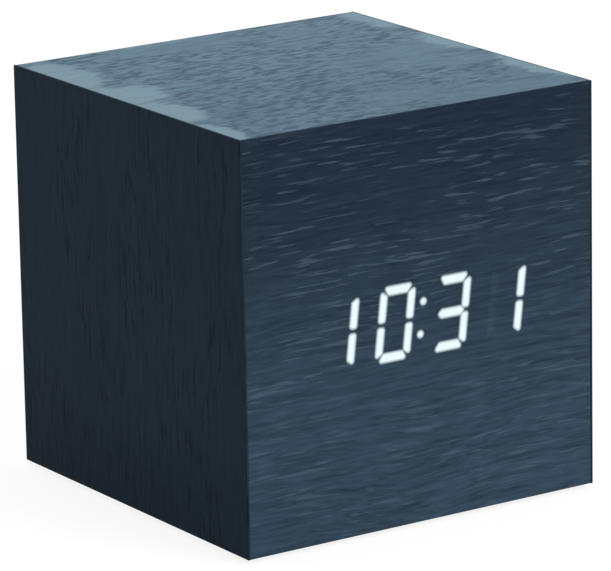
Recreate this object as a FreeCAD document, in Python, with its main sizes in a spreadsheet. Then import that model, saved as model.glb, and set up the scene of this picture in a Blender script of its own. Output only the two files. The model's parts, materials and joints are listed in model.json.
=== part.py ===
# Cube alarm clock: a veneered MDF box with a four-digit light display behind its front veneer.
# Millimetres. Z is up, the display faces -Y, and the origin is under the centre of the cube,
# on the plane that the rubber feet rest on.
import FreeCAD, Part
import math
import os
import re
import Sketcher

os.makedirs("parts", exist_ok=True)
doc = FreeCAD.newDocument("cube_clock")

# Driving dimensions. Lengths are in millimetres, slant and wellTaper are in degrees.
sizes = {
    # box
    "cubeEdge": 80.0,
    "panel": 5.0,
    "veneer": 0.5,
    "edgeRound": 0.3,
    "basePanel": 4.0,
    "baseGap": 0.2,
    "blockWidth": 9.0,
    "blockHeight": 12.0,
    "footDiameter": 8.0,
    "footHeight": 1.0,
    # base screws, sunk in the base panel under the feet
    "baseScrewHead": 5.6,
    "baseScrewShank": 2.8,
    "baseHeadHeight": 1.4,
    "baseScrewLength": 10.6,
    "baseScrewRecess": 6.4,
    # digits
    "digitHeight": 14.4,
    "digitWidth": 8.0,
    "digitPitch": 12.8,
    "slant": 7.0,
    "strokeLevel": 1.8,
    "strokeUpright": 1.6,
    "cornerCut": 0.85,
    "cornerGap": 0.2,
    "tipInset": 0.65,
    "tipGap": 0.35,
    "displayShift": 0.3,
    "colonShift": -0.35,
    "colonRise": 3.15,
    "colonDiameter": 1.4,
    # display module
    "housingBorder": 2.2,
    "windowGap": 0.2,
    "earWidth": 5.5,
    "earHeight": 4.0,
    "earThickness": 3.0,
    "wellTaper": 1.5,
    "displayBoard": 1.6,
    "ledLength": 1.6,
    "ledWidth": 0.8,
    "ledHeight": 0.6,
    "driverWidth": 7.5,
    "driverLength": 17.9,
    "driverHeight": 2.3,
    "driverShift": 8.0,
    "resinGap": 0.1,
    # small screws, used for the display module and for the control board
    "screwHead": 3.6,
    "screwHeadHeight": 1.3,
    "screwShank": 2.0,
    "displayScrewLength": 8.0,
    "controlScrewLength": 6.0,
    "screwPlay": 0.15,
    "pilotPlay": 0.03,
    "pilotRoom": 1.0,
    # control plate
    "plateWidth": 54.0,
    "plateHeight": 16.0,
    "plateThickness": 1.5,
    "plateRecess": 1.0,
    "plateRise": 24.0,
    "plateGap": 0.2,
    "plateRim": 2.7,
    "plateRound": 1.5,
    "spigotWall": 1.4,
    "bossDiameter": 4.4,
    "bossReach": 21.8,
    "bossInset": 2.5,
    # buttons and their switches
    "buttonDiameter": 5.0,
    "buttonPitch": 8.5,
    "firstButton": 16.0,
    "buttonGap": 0.1,
    "buttonStand": 0.8,
    "buttonRound": 0.4,
    "collarDiameter": 6.4,
    "collarThickness": 1.0,
    "collarGap": 0.1,
    "stemDiameter": 3.4,
    "switchWidth": 6.0,
    "switchHeight": 3.5,
    "plungerDiameter": 3.4,
    "plungerStand": 0.8,
    "plungerDepth": 0.5,
    "plungerGap": 0.05,
    "switchBore": 1.0,
    # control board and the parts on it
    "boardSetback": 4.5,
    "controlBoard": 1.6,
    "boardWidth": 50.0,
    "boardHeight": 32.0,
    "boardLift": 6.0,
    "socketAcross": 7.8,
    "socketTall": 2.9,
    "socketWall": 0.35,
    "socketTongue": 0.7,
    "socketPlace": -15.2,
    "socketRecess": 0.3,
    "tongueDrop": 1.0,
    "mouthGap": 0.2,
    "microphoneDiameter": 4.0,
    "microphoneHeight": 1.5,
    "microphonePlace": -8.0,
    "soundHole": 1.2,
    "buzzerDiameter": 9.0,
    "buzzerHeight": 4.5,
    "buzzerHole": 1.6,
    "coinDiameter": 20.0,
    "coinThickness": 3.2,
    "coinPlay": 0.15,
    "holderWall": 0.65,
    "holderFloor": 0.8,
    "capacitorDiameter": 5.0,
    "capacitorHeight": 5.4,
    "capacitorSpacing": 18.4,
    "crystalDiameter": 2.0,
    "crystalLength": 6.0,
    "coinPlace": 12.4,
    "coinRise": 10.5,
    "holderLip": 0.4,
    "capacitorPlace": 1.2,
    "capacitorRise": 14.0,
    "crystalPlace": 12.5,
    "crystalRise": 12.4,
    "buzzerPlace": 15.0,
    "buzzerRise": 5.2,
    "controllerWidth": 6.0,
    "controllerLength": 9.9,
    "controllerHeight": 1.75,
    "controllerPlace": 5.0,
    "controllerRise": 4.0,
    "legWidth": 0.4,
    "legReach": 1.0,
    "legThickness": 0.3,
    "legPitch": 1.27,
    "chipChamfer": 0.4,
    # ribbon cable and its two headers
    "ribbonPlace": 10.0,
    "ribbonWidth": 10.2,
    "ribbonThickness": 0.9,
    "headerWidth": 12.0,
    "headerHeight": 4.5,
    "headerReach": 4.5,
    "displayHeaderDrop": 9.0,
    "controlHeaderRise": 18.0,
    # battery box
    "cellDiameter": 10.5,
    "cellLength": 44.5,
    "nubDiameter": 3.8,
    "nubLength": 1.0,
    "cellPitch": 11.1,
    "contactThickness": 0.4,
    "contactHeight": 9.0,
    "contactGap": 0.1,
    "leafRise": 3.5,
    "leafThickness": 0.3,
    "leafWidth": 5.0,
    "trayWall": 1.2,
    "trayFlange": 1.5,
    "trayRim": 2.6,
    "trayGap": 0.2,
    "ledge": 0.6,
    "cellLift": 1.05,
    "roofGap": 0.25,
    "ribThickness": 1.0,
    "ribDepth": 2.5,
    "hookReach": 0.8,
    "hookHeight": 2.5,
    "hookLength": 8.0,
    "hookGap": 0.1,
    # battery door
    "doorGap": 0.3,
    "doorThickness": 1.4,
    "tabWidth": 4.0,
    "tabThickness": 1.0,
    "tabReach": 0.8,
    "tabGap": 0.1,
    "slotGap": 0.3,
    "slotHeight": 2.1,
    "scoopRadius": 7.0,
    "scoopDepth": 0.6,
    "latchStand": 0.15,
    "latchWidth": 10.0,
    "latchHeight": 0.5,
    "gripLength": 12.0,
    "gripWidth": 0.8,
    "gripPitch": 1.8,
    "gripDepth": 0.3,
    # battery leads
    "leadDiameter": 1.2,
    "leadSpacing": 3.0,
    "leadPlace": 14.5,
    "leadSetback": 6.7,
    "leadRise": 6.5,
}

# Lengths and places that follow from the driving dimensions.
derived = {
    "middle": "footHeight + cubeEdge / 2",
    "top": "footHeight + cubeEdge",
    "coreHalf": "cubeEdge / 2 - veneer",
    "innerHalf": "coreHalf - panel",
    "baseHalf": "innerHalf - baseGap",
    "basePanelTop": "footHeight + veneer + basePanel",
    "cornerReach": "innerHalf - blockWidth / 2",
    # display
    "digitSide": "digitWidth / 2",
    "digitTop": "digitHeight / 2",
    "mitreRise": "tipGap / sqrt(2)",
    "housingWidth": "3 * digitPitch + digitWidth + digitHeight * tan(slant) + 2 * housingBorder",
    "housingHeight": "digitHeight + 2 * housingBorder",
    "moduleWidth": "housingWidth + 2 * earWidth",
    "moduleHeight": "housingHeight + 2 * earHeight",
    "moduleDepth": "panel + earThickness",
    "displayScrewX": "(housingWidth + earWidth) / 2",
    "displayScrewZ": "(housingHeight + earHeight) / 2",
    "displayBoardFront": "-coreHalf + moduleDepth",
    "displayBoardBack": "displayBoardFront + displayBoard",
    "displayHeaderZ": "middle - displayHeaderDrop",
    # controls
    "plateFace": "cubeEdge / 2 - plateRecess",
    "plateBack": "plateFace - plateThickness",
    "plateZ": "footHeight + plateRise",
    "spigotWidth": "2 * (bossReach + bossInset)",
    "spigotHeight": "plateHeight - 2 * plateRim",
    "controlFront": "innerHalf - boardSetback",
    "controlBack": "controlFront - controlBoard",
    "boardZ": "plateZ + boardLift",
    "plungerTop": "controlFront + switchHeight + plungerStand",
    "collarFront": "plateBack - collarGap",
    "controlHeaderZ": "plateZ + controlHeaderRise",
    # battery box, heights counted from the underside of the cube
    "cavityWidth": "4 * cellPitch",
    "cavityLength": "cellLength + leafRise + 2 * (contactThickness + contactGap)",
    "openingWidth": "cavityWidth + 2 * ledge",
    "openingLength": "cavityLength + 2 * ledge",
    "trayWidth": "cavityWidth + 2 * trayWall",
    "trayLength": "cavityLength + 2 * trayWall",
    "flangeWidth": "openingWidth + 2 * trayRim",
    "flangeLength": "openingLength + 2 * trayRim",
    "cellZ": "trayFlange + cellLift + cellDiameter / 2",
    "cavityTop": "cellZ + cellDiameter / 2 + roofGap",
    "trayTop": "cavityTop + trayWall",
    "cellEnd": "cavityLength / 2 - contactThickness - contactGap",
    "doorWidth": "openingWidth - 2 * doorGap",
    "doorLength": "openingLength - 2 * doorGap",
    "hingeZ": "doorThickness / 2",
    "hingeY": "-doorLength / 2 + hingeZ",
    "tabBottom": "trayFlange + tabGap",
    "tabEnd": "openingLength / 2 + tabReach",
}

sheet = doc.addObject("Spreadsheet::Sheet", "dims")
for row, (name, size) in enumerate(sizes.items(), start=1):
    sheet.set(f"A{row}", name)
    sheet.set(f"B{row}", str(size))
    sheet.setAlias(f"B{row}", name)
doc.recompute()


# A formula names sizes and derived values, and becomes an expression on the sheet's cells.
def formula(text):
    def swap(match):
        word = match.group(0)
        if word in derived:
            return "(" + formula(derived[word]) + ")"
        return "dims." + word if word in sizes else word

    return re.sub(r"[A-Za-z]+", swap, text)


def value(text):
    return float(sheet.evalExpression(formula(text)))


def bind(thing, prop, text):
    thing.setExpression(prop, formula(text))


# ---- bodies, sketches and features ---------------------------------------------------------

parts = []
aboutX = FreeCAD.Vector(1, 0, 0)
aboutZ = FreeCAD.Vector(0, 0, 1)
facingBack = (aboutZ, 180)
axisBack = (aboutX, -90)
axisFront = (aboutX, 90)
axisDown = (aboutX, 180)


def place(thing, at, turn=None):
    if turn:
        thing.Placement = FreeCAD.Placement(FreeCAD.Vector(), FreeCAD.Rotation(*turn))
    for axis, text in zip("xyz", at):
        bind(thing, f"Placement.Base.{axis}", text)


def addBody(label, at=("0", "0", "0"), turn=None):
    body = doc.addObject("PartDesign::Body", label)
    body.Label = label
    place(body, at, turn)
    parts.append(body)
    return body


def originItem(body, role):
    return next(item for item in body.Origin.OriginFeatures if item.Role == role)


def addSketch(body, plane, offset="0"):
    sketch = body.newObject("Sketcher::SketchObject", body.Label + "_sketch")
    sketch.AttachmentSupport = [(originItem(body, plane), "")]
    sketch.MapMode = "FlatFace"
    bind(sketch, "AttachmentOffset.Base.z", offset)
    return sketch


# Each constraint is a kind, its geometry and the formula that drives it.
def constrain(sketch, joined, driven):
    plain = [Sketcher.Constraint("Coincident", *ends) for ends in joined]
    sized = [Sketcher.Constraint(kind, *spot, value(text)) for kind, spot, text in driven]
    first = sketch.ConstraintCount
    sketch.addConstraint(plain + sized)
    for number, (_, _, text) in enumerate(driven):
        bind(sketch, f"Constraints[{first + len(plain) + number}]", text)


def outline(sketch, corners):
    first = sketch.GeometryCount
    count = len(corners)
    spots = [FreeCAD.Vector(value(x), value(y), 0) for x, y in corners]
    joined = []
    driven = []
    for number, (x, y) in enumerate(corners):
        after = (number + 1) % count
        sketch.addGeometry(Part.LineSegment(spots[number], spots[after]), False)
        joined.append((first + number, 2, first + after, 1))
        driven.append(("DistanceX", (first + number, 1), x))
        driven.append(("DistanceY", (first + number, 1), y))
    constrain(sketch, joined, driven)


def rectangle(sketch, width, height, x="0", y="0"):
    west, east = f"{x} - ({width}) / 2", f"{x} + ({width}) / 2"
    south, north = f"{y} - ({height}) / 2", f"{y} + ({height}) / 2"
    outline(sketch, [(west, south), (east, south), (east, north), (west, north)])


def circle(sketch, diameter, x="0", y="0"):
    number = sketch.GeometryCount
    centre = FreeCAD.Vector(value(x), value(y), 0)
    sketch.addGeometry(Part.Circle(centre, aboutZ, value(diameter) / 2), False)
    driven = [("DistanceX", (number, 3), x), ("DistanceY", (number, 3), y)]
    driven.append(("Diameter", (number,), diameter))
    constrain(sketch, [], driven)


# Screws, their holes and other small hidden rounds are drawn with flats, larger ones with more.
manyFlats = 24


def flatted(sketch, diameter, x="0", y="0", flats=12):
    corners = []
    for number in range(flats):
        angle = 360 / flats * (number + 0.5)
        across = f"{x} + ({diameter}) / 2 * cos({angle})"
        corners.append((across, f"{y} + ({diameter}) / 2 * sin({angle})"))
    outline(sketch, corners)


def addFeature(body, kind, sketch, name):
    feature = body.newObject("PartDesign::" + kind, f"{body.Label}_{name}")
    feature.Profile = sketch
    return feature


def pad(body, sketch, length, back=False, taper=None, centred=False):
    feature = addFeature(body, "Pad", sketch, "pad")
    bind(feature, "Length", length)
    feature.Reversed = back
    if centred:
        feature.SideType = "Symmetric"
    if taper:
        bind(feature, "TaperAngle", taper)
    doc.recompute()
    return feature


# A cut that removes nothing points the wrong way, so the volume is compared.
def checkCut(body, before):
    if body.Shape.Volume >= before - 1e-6:
        raise RuntimeError(body.Label + ": a cut removed nothing")


def pocket(body, sketch, depth, back=False, centred=False):
    before = body.Shape.Volume
    feature = addFeature(body, "Pocket", sketch, "pocket")
    feature.Reversed = back
    if centred:
        feature.SideType = "Symmetric"
    bind(feature, "Length", depth)
    doc.recompute()
    checkCut(body, before)
    return feature


# A profile of radius and height pairs, turned about the body's own Z axis.
def turned(body, profile, offset="0"):
    sketch = addSketch(body, "XZ_Plane", offset)
    outline(sketch, profile)
    feature = addFeature(body, "Revolution", sketch, "turned")
    feature.ReferenceAxis = (sketch, ["V_Axis"])
    doc.recompute()
    return feature


# Copies of some features, turned by half and repeated along X.
def repeat(body, features, steps):
    chain = []
    for kind, axis, length in steps:
        step = body.newObject("PartDesign::" + kind, f"{body.Label}_{kind}")
        if kind == "LinearPattern":
            step.Direction = (originItem(body, axis), [""])
            bind(step, "Length", length)
        else:
            step.Axis = (originItem(body, axis), [""])
            step.Angle = 360
        step.Occurrences = 2
        chain.append(step)
    pattern = body.newObject("PartDesign::MultiTransform", body.Label + "_pattern")
    pattern.Originals = features
    pattern.Transformations = chain
    body.Tip = pattern
    doc.recompute()


def addFeatureShape(label, shape):
    thing = doc.addObject("Part::Feature", label)
    thing.Label = label
    thing.Shape = shape
    thing.Placement = FreeCAD.Placement()
    parts.append(thing)
    volume = sum(solid.Volume for solid in shape.Solids)
    print(f"{label}: volume {volume:.1f}")
    return thing


def edgesAt(body, test):
    edges = body.Tip.Shape.Edges
    return [f"Edge{n}" for n, edge in enumerate(edges, 1) if test(edge.BoundBox)]


def roundEdges(body, names, radius, kind="Fillet"):
    base = body.Tip
    feature = body.newObject("PartDesign::" + kind, f"{body.Label}_{kind}")
    feature.Base = (base, names)
    bind(feature, "Size" if kind == "Chamfer" else "Radius", radius)
    doc.recompute()


def near(number, text):
    return abs(number - value(text)) < 1e-4


# ---- the box: five mitred MDF walls, a base panel and their veneers ------------------------


# One wall standing with its outer face on the body's XZ plane and its inner face at +Y.
# Both sides and the top edge are mitred at 45 degrees; the bottom edge is square.
def mitredWall(label, at, turn=None):
    body = addBody(label, at, turn)
    plan = addSketch(body, "XY_Plane")
    corners = [("-coreHalf", "0"), ("coreHalf", "0"), ("innerHalf", "panel"), ("-innerHalf", "panel")]
    outline(plan, corners)
    pad(body, plan, "cubeEdge - veneer")
    mitre = addSketch(body, "YZ_Plane")
    height = "cubeEdge - veneer"
    outline(mitre, [("0", height), ("panel", height), ("panel", f"{height} - panel")])
    pocket(body, mitre, "2 * coreHalf", centred=True)
    return body


def makeFrontPanel():
    body = mitredWall("front_panel", ("0", "-coreHalf", "footHeight"))
    window = addSketch(body, "XZ_Plane")
    across = "housingWidth + 2 * windowGap"
    tall = "housingHeight + 2 * windowGap"
    rectangle(window, across, tall, "displayShift", "cubeEdge / 2")
    pocket(body, window, "panel")
    pilots = addSketch(body, "XZ_Plane", "-panel")
    for side in ("-", ""):
        for level in ("-", "+"):
            x = f"displayShift + {side}displayScrewX"
            z = f"cubeEdge / 2 {level} displayScrewZ"
            flatted(pilots, "screwShank + 2 * pilotPlay", x, z)
    depth = "displayScrewLength - displayBoard - earThickness + pilotPlay"
    pocket(body, pilots, depth, back=True)


def makeBackPanel():
    body = mitredWall("back_panel", ("0", "coreHalf", "footHeight"), facingBack)
    rebate = addSketch(body, "XZ_Plane")
    across = "plateWidth + 2 * plateGap"
    tall = "plateHeight + 2 * plateGap"
    rectangle(rebate, across, tall, "0", "plateRise")
    pocket(body, rebate, "plateRecess + plateThickness - veneer")
    through = addSketch(body, "XZ_Plane")
    across = "spigotWidth + 2 * plateGap"
    tall = "spigotHeight + 2 * plateGap"
    rectangle(through, across, tall, "0", "plateRise")
    pocket(body, through, "panel")


def makeTopPanel():
    body = addBody("top_panel", ("0", "0", "top - veneer"))
    plan = addSketch(body, "XY_Plane")
    rectangle(plan, "2 * coreHalf", "2 * coreHalf")
    pad(body, plan, "panel", back=True, taper="-45")


def makeBasePanel():
    body = addBody("base_panel", ("0", "0", "footHeight + veneer"))
    plan = addSketch(body, "XY_Plane")
    rectangle(plan, "2 * baseHalf", "2 * baseHalf")
    pad(body, plan, "basePanel")
    rebate = addSketch(body, "XY_Plane")
    rectangle(rebate, "flangeWidth + 2 * trayGap", "flangeLength + 2 * trayGap")
    pocket(body, rebate, "trayFlange - veneer", back=True)
    through = addSketch(body, "XY_Plane")
    rectangle(through, "trayWidth + 2 * trayGap", "trayLength + 2 * trayGap")
    pocket(body, through, "basePanel", back=True)
    bores = addSketch(body, "XY_Plane")
    heads = addSketch(body, "XY_Plane")
    for x in ("-cornerReach", "cornerReach"):
        for y in ("-cornerReach", "cornerReach"):
            flatted(bores, "baseScrewShank + 2 * screwPlay", x, y)
            flatted(heads, "baseScrewHead + 2 * screwPlay", x, y)
    pocket(body, bores, "basePanel", back=True)
    pocket(body, heads, "baseHeadHeight", back=True)


# A veneer sheet on a wall: its outer face on the XZ plane, with the named outer edges eased.
def veneerSheet(label, width, at, turn, eased):
    body = addBody(label, at, turn)
    face = addSketch(body, "XZ_Plane")
    rectangle(face, width, "cubeEdge", "0", "cubeEdge / 2")
    pad(body, face, "veneer", back=True)

    def outer(box):
        onFace = near(box.YMin, "0") and near(box.YMax, "0")
        return onFace and (box.XLength > box.ZLength or eased == "all")

    roundEdges(body, edgesAt(body, outer), "edgeRound")
    return body


def makeVeneers():
    veneerSheet("front_veneer", "2 * coreHalf", ("0", "-cubeEdge / 2", "footHeight"), None, "ends")
    rightTurn = (aboutZ, 90)
    leftTurn = (aboutZ, -90)
    veneerSheet("right_veneer", "cubeEdge", ("cubeEdge / 2", "0", "footHeight"), rightTurn, "all")
    veneerSheet("left_veneer", "cubeEdge", ("-cubeEdge / 2", "0", "footHeight"), leftTurn, "all")
    back = veneerSheet(
        "back_veneer", "2 * coreHalf", ("0", "cubeEdge / 2", "footHeight"), facingBack, "ends"
    )
    opening = addSketch(back, "XZ_Plane")
    across = "plateWidth + 2 * plateGap"
    rectangle(opening, across, "plateHeight + 2 * plateGap", "0", "plateRise")
    pocket(back, opening, "veneer")

    lid = addBody("top_veneer", ("0", "0", "top - veneer"))
    plan = addSketch(lid, "XY_Plane")
    rectangle(plan, "2 * coreHalf", "2 * coreHalf")
    pad(lid, plan, "veneer")

    base = addBody("base_veneer", ("0", "0", "footHeight"))
    plan = addSketch(base, "XY_Plane")
    rectangle(plan, "2 * baseHalf", "2 * baseHalf")
    rectangle(plan, "flangeWidth + 2 * trayGap", "flangeLength + 2 * trayGap")
    for x in ("-cornerReach", "cornerReach"):
        for y in ("-cornerReach", "cornerReach"):
            flatted(plan, "baseScrewRecess", x, y)
    pad(base, plan, "veneer")


# Four glued blocks in the corners take the base screws.
def makeCornerBlocks():
    body = addBody("corner_blocks", ("0", "0", "basePanelTop"))
    plan = addSketch(body, "XY_Plane")
    pilots = addSketch(body, "XY_Plane")
    for x in ("-cornerReach", "cornerReach"):
        for y in ("-cornerReach", "cornerReach"):
            rectangle(plan, "blockWidth", "blockWidth", x, y)
            flatted(pilots, "baseScrewShank + 2 * pilotPlay", x, y)
    pad(body, plan, "blockHeight")
    pocket(body, pilots, "baseScrewLength + baseHeadHeight - basePanel + pilotRoom", back=True)


# Pan-head screws at the given spots: heads above the body's XY plane, shanks below it.
def makeScrews(label, at, turn, spots, head, headHeight, shank, length):
    body = addBody(label, at, turn)
    heads = addSketch(body, "XY_Plane")
    shanks = addSketch(body, "XY_Plane")
    for x, y in spots:
        flatted(heads, head, x, y)
        flatted(shanks, shank, x, y)
    pad(body, heads, headHeight)
    pad(body, shanks, length, back=True)


def fourSpots(x, y):
    return [(f"{west}{x}", f"{south}{y}") for west in ("-", "") for south in ("-", "")]


def makeBaseScrews():
    at = ("0", "0", "footHeight + veneer + baseHeadHeight")
    spots = fourSpots("cornerReach", "cornerReach")
    sizesOfOne = ("baseScrewHead", "baseHeadHeight", "baseScrewShank", "baseScrewLength")
    makeScrews("base_screws", at, axisDown, spots, *sizesOfOne)


def makeFeet():
    body = addBody("rubber_feet")
    plan = addSketch(body, "XY_Plane")
    for x in ("-cornerReach", "cornerReach"):
        for y in ("-cornerReach", "cornerReach"):
            circle(plan, "footDiameter", x, y)
    pad(body, plan, "footHeight")


# ---- the display: a moulded light frame, resin-filled wells, and the board behind it -------


def mirrored(corners, x="", y=""):
    return [(f"{x}({across})", f"{y}({up})") for across, up in corners]


# The seven strokes of one digit, upright, about its centre. Level strokes are cut back at the
# corners, and the uprights end in points that leave the middle stroke its mitred ends.
def strokes():
    inner = "digitSide - strokeUpright - cornerGap"
    low = "digitTop - strokeLevel"
    topStroke = [("-digitSide + cornerCut", "digitTop"), ("digitSide - cornerCut", "digitTop")]
    topStroke += [(inner, low), (f"-({inner})", low)]
    upright = [
        ("digitSide", "digitTop - cornerCut"),
        ("digitSide - strokeUpright", low),
        ("digitSide - strokeUpright", "strokeUpright - tipInset + mitreRise"),
        ("digitSide - tipInset", "mitreRise"),
        ("digitSide", "tipInset + mitreRise"),
    ]
    tip = "digitSide - tipInset - mitreRise"
    shoulder = f"{tip} - strokeLevel / 2"
    rightEnd = [(shoulder, "-strokeLevel / 2"), (tip, "0"), (shoulder, "strokeLevel / 2")]
    middleStroke = rightEnd + mirrored(rightEnd, x="-", y="-")
    return {
        "top": topStroke,
        "upperRight": upright,
        "lowerRight": mirrored(upright, y="-"),
        "bottom": mirrored(topStroke, y="-"),
        "lowerLeft": mirrored(upright, x="-", y="-"),
        "upperLeft": mirrored(upright, x="-"),
        "middle": middleStroke,
    }


def slanted(corners, centre):
    return [(f"{centre} + {x} + ({y}) * tan(slant)", y) for x, y in corners]


digitNames = ("hour_tens", "hour_units", "minute_tens", "minute_units")
digitCentres = [f"digitPitch * ({number} - 1.5)" for number in range(len(digitNames))]
colonSpots = [(f"colonShift + ({up}) * tan(slant)", up) for up in ("-colonRise", "colonRise")]
displayPlace = ("displayShift", "-coreHalf", "middle")


# The outline drawn in by the same reach on every side. Its corners move along their bisectors.
def drawnIn(spots, reach):
    before = spots[-1:] + spots[:-1]
    after = spots[1:] + spots[:1]
    turning = sum(first.cross(second).y for first, second in zip(spots, after))
    inside = FreeCAD.Vector(0, math.copysign(1, turning), 0)
    moved = []
    for last, spot, following in zip(before, spots, after):
        first = inside.cross((spot - last).normalize())
        second = inside.cross((following - spot).normalize())
        moved.append(spot + (first + second) * (reach / (1 + first.dot(second))))
    return moved


# One well or its filling: flat sides that draw in with the moulding's draft behind the face.
def tapered(corners, depth):
    front = [FreeCAD.Vector(value(x), 0, value(z)) for x, z in corners]
    reach = depth * math.tan(math.radians(value("wellTaper")))
    rear = [spot + FreeCAD.Vector(0, depth, 0) for spot in drawnIn(front, reach)]
    rings = [front, rear]
    for first, last, nextFirst, nextLast in zip(front, rear, front[1:] + front[:1], rear[1:] + rear[:1]):
        rings.append([first, nextFirst, nextLast, last])
    faces = [Part.Face(Part.makePolygon(ring + ring[:1])) for ring in rings]
    solid = Part.makeSolid(Part.makeShell(faces))
    if solid.Volume < 0:
        solid.reverse()
    return solid


def digitSolids(centre, depth):
    return [tapered(slanted(corners, centre), depth) for corners in strokes().values()]


def makeLightFrame():
    body = addBody("light_frame_block", displayPlace)
    parts.remove(body)
    face = addSketch(body, "XZ_Plane")
    rectangle(face, "housingWidth", "housingHeight")
    pad(body, face, "moduleDepth", back=True)
    ears = addSketch(body, "XZ_Plane", "-panel")
    rectangle(ears, "moduleWidth", "moduleHeight")
    pad(body, ears, "earThickness", back=True)
    dots = addSketch(body, "XZ_Plane")
    for x, z in colonSpots:
        flatted(dots, "colonDiameter", x, z)
    pocket(body, dots, "moduleDepth")
    holes = addSketch(body, "XZ_Plane", "-panel")
    for x in ("-displayScrewX", "displayScrewX"):
        for z in ("-displayScrewZ", "displayScrewZ"):
            flatted(holes, "screwShank + 2 * screwPlay", x, z)
    pocket(body, holes, "earThickness")
    wells = doc.addObject("Part::Feature", "light_frame_wells")
    solids = []
    for centre in digitCentres:
        solids += digitSolids(centre, value("moduleDepth"))
    wells.Shape = Part.makeCompound(solids)
    place(wells, displayPlace)
    frame = doc.addObject("Part::Cut", "light_frame")
    frame.Base = body
    frame.Tool = wells
    doc.recompute()
    parts.append(frame)
    checkCut(frame, body.Shape.Volume)


# The resin that fills the wells stops short of the light-emitting diodes behind it.
def makeSegments():
    depth = "moduleDepth - ledHeight - resinGap"
    for name, centre in zip(digitNames, digitCentres):
        fillings = Part.makeCompound(digitSolids(centre, value(depth)))
        place(addFeatureShape(name + "_segments", fillings), displayPlace)
    body = addBody("colon_dots", displayPlace)
    face = addSketch(body, "XZ_Plane")
    for x, z in colonSpots:
        flatted(face, "colonDiameter", x, z)
    pad(body, face, depth, back=True)


def makeSegmentLeds():
    body = addBody("segment_leds", ("displayShift", "displayBoardFront", "middle"))
    face = addSketch(body, "XZ_Plane")
    side = "digitSide - strokeUpright / 2"
    high = "digitTop - strokeLevel / 2"
    for centre in digitCentres:
        for z in (f"-({high})", "0", high):
            rectangle(face, "ledLength", "ledWidth", *slanted([("0", z)], centre)[0])
        for x in (f"-({side})", side):
            for z in ("-digitTop / 2", "digitTop / 2"):
                rectangle(face, "ledWidth", "ledLength", *slanted([(x, z)], centre)[0])
    for x, z in colonSpots:
        rectangle(face, "ledWidth", "ledWidth", x, z)
    pad(body, face, "ledHeight")


def makeDisplayBoard():
    body = addBody("display_board", ("displayShift", "displayBoardFront", "middle"))
    face = addSketch(body, "XZ_Plane")
    rectangle(face, "moduleWidth", "moduleHeight")
    for x in ("-displayScrewX", "displayScrewX"):
        for z in ("-displayScrewZ", "displayScrewZ"):
            flatted(face, "screwShank + 2 * screwPlay", x, z)
    pad(body, face, "displayBoard", back=True)


def makeDisplayScrews():
    at = ("displayShift", "displayBoardBack", "middle")
    spots = fourSpots("displayScrewX", "displayScrewZ")
    sizesOfOne = ("screwHead", "screwHeadHeight", "screwShank", "displayScrewLength")
    makeScrews("display_screws", at, axisBack, spots, *sizesOfOne)


# A moulded chip lying on a board that faces the body's -Y, with a comb of legs on two sides.
def makeChip(label, at, turn, case, legCount):
    width, length, height = case
    body = addBody(label, at, turn)
    legs = addSketch(body, "XZ_Plane")
    for number in range(legCount):
        z = f"legPitch * ({number} - ({legCount} - 1) / 2)"
        rectangle(legs, f"{width} + 2 * legReach", "legWidth", "0", z)
    pad(body, legs, "legThickness")
    block = addSketch(body, "XZ_Plane")
    rectangle(block, width, length)
    pad(body, block, height)
    far = body.Tip.Shape.BoundBox
    names = edgesAt(body, lambda box: abs(box.YMax - far.YMin) < 1e-4 and box.ZLength > 1)
    roundEdges(body, names, "chipChamfer", "Chamfer")


# A shrouded header: a hollow shell that the ribbon's plug end fills.
def makeHeader(label, at, turn):
    body = addBody(label, at, turn)
    case = addSketch(body, "XZ_Plane")
    rectangle(case, "headerWidth", "headerHeight")
    pad(body, case, "headerReach")
    mouth = addSketch(body, "XZ_Plane", "headerReach")
    rectangle(mouth, "ribbonWidth", "ribbonThickness")
    pocket(body, mouth, "headerReach / 2")


# ---- runs of cable: straight stretches joined by tangent arcs ------------------------------


# The route through the given points, with each arc as large as its two runs allow.
def roundedRoute(points):
    share = 0.45
    edges = []
    start = points[0]
    for before, corner, after in zip(points, points[1:], points[2:]):
        inward = (corner - before).normalize()
        outward = (after - corner).normalize()
        turn = inward.getAngle(outward)
        reach = share * min((corner - before).Length, (after - corner).Length)
        print(f"arc radius {reach / math.tan(turn / 2):.1f}")
        first = corner - inward * reach
        last = corner + outward * reach
        bisector = (outward - inward).normalize()
        radius = reach / math.tan(turn / 2)
        centre = corner + bisector * (radius / math.cos(turn / 2))
        crown = centre - bisector * radius
        edges.append(Part.LineSegment(start, first).toShape())
        edges.append(Part.Arc(first, crown, last).toShape())
        start = last
    edges.append(Part.LineSegment(start, points[-1]).toShape())
    return Part.Wire(edges)


def swept(section, route):
    return route.makePipeShell([section], True, True)


# The flat ribbon sags from the display's header and rises again to the control board's.
def makeRibbon():
    x = value("ribbonPlace")
    half = value("ribbonWidth / 2")
    thick = value("ribbonThickness")
    depth = value("headerReach / 2")
    front = value("displayBoardBack + headerReach")
    rear = value("controlBack - headerReach")
    low = value("displayHeaderZ")
    high = value("controlHeaderZ")
    span = rear - front
    rise = high - low
    route = roundedRoute([
        FreeCAD.Vector(x, front - depth, low),
        FreeCAD.Vector(x, front + 0.22 * span, low),
        FreeCAD.Vector(x, front + 0.48 * span, low + 0.3 * rise),
        FreeCAD.Vector(x, front + 0.76 * span, high),
        FreeCAD.Vector(x, rear + depth, high),
    ])
    corners = [(-half, -thick / 2), (half, -thick / 2), (half, thick / 2), (-half, thick / 2)]
    spots = [FreeCAD.Vector(x + across, front - depth, low + up) for across, up in corners]
    section = Part.makePolygon(spots + spots[:1])
    addFeatureShape("ribbon_cable", swept(section, route))


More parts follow.
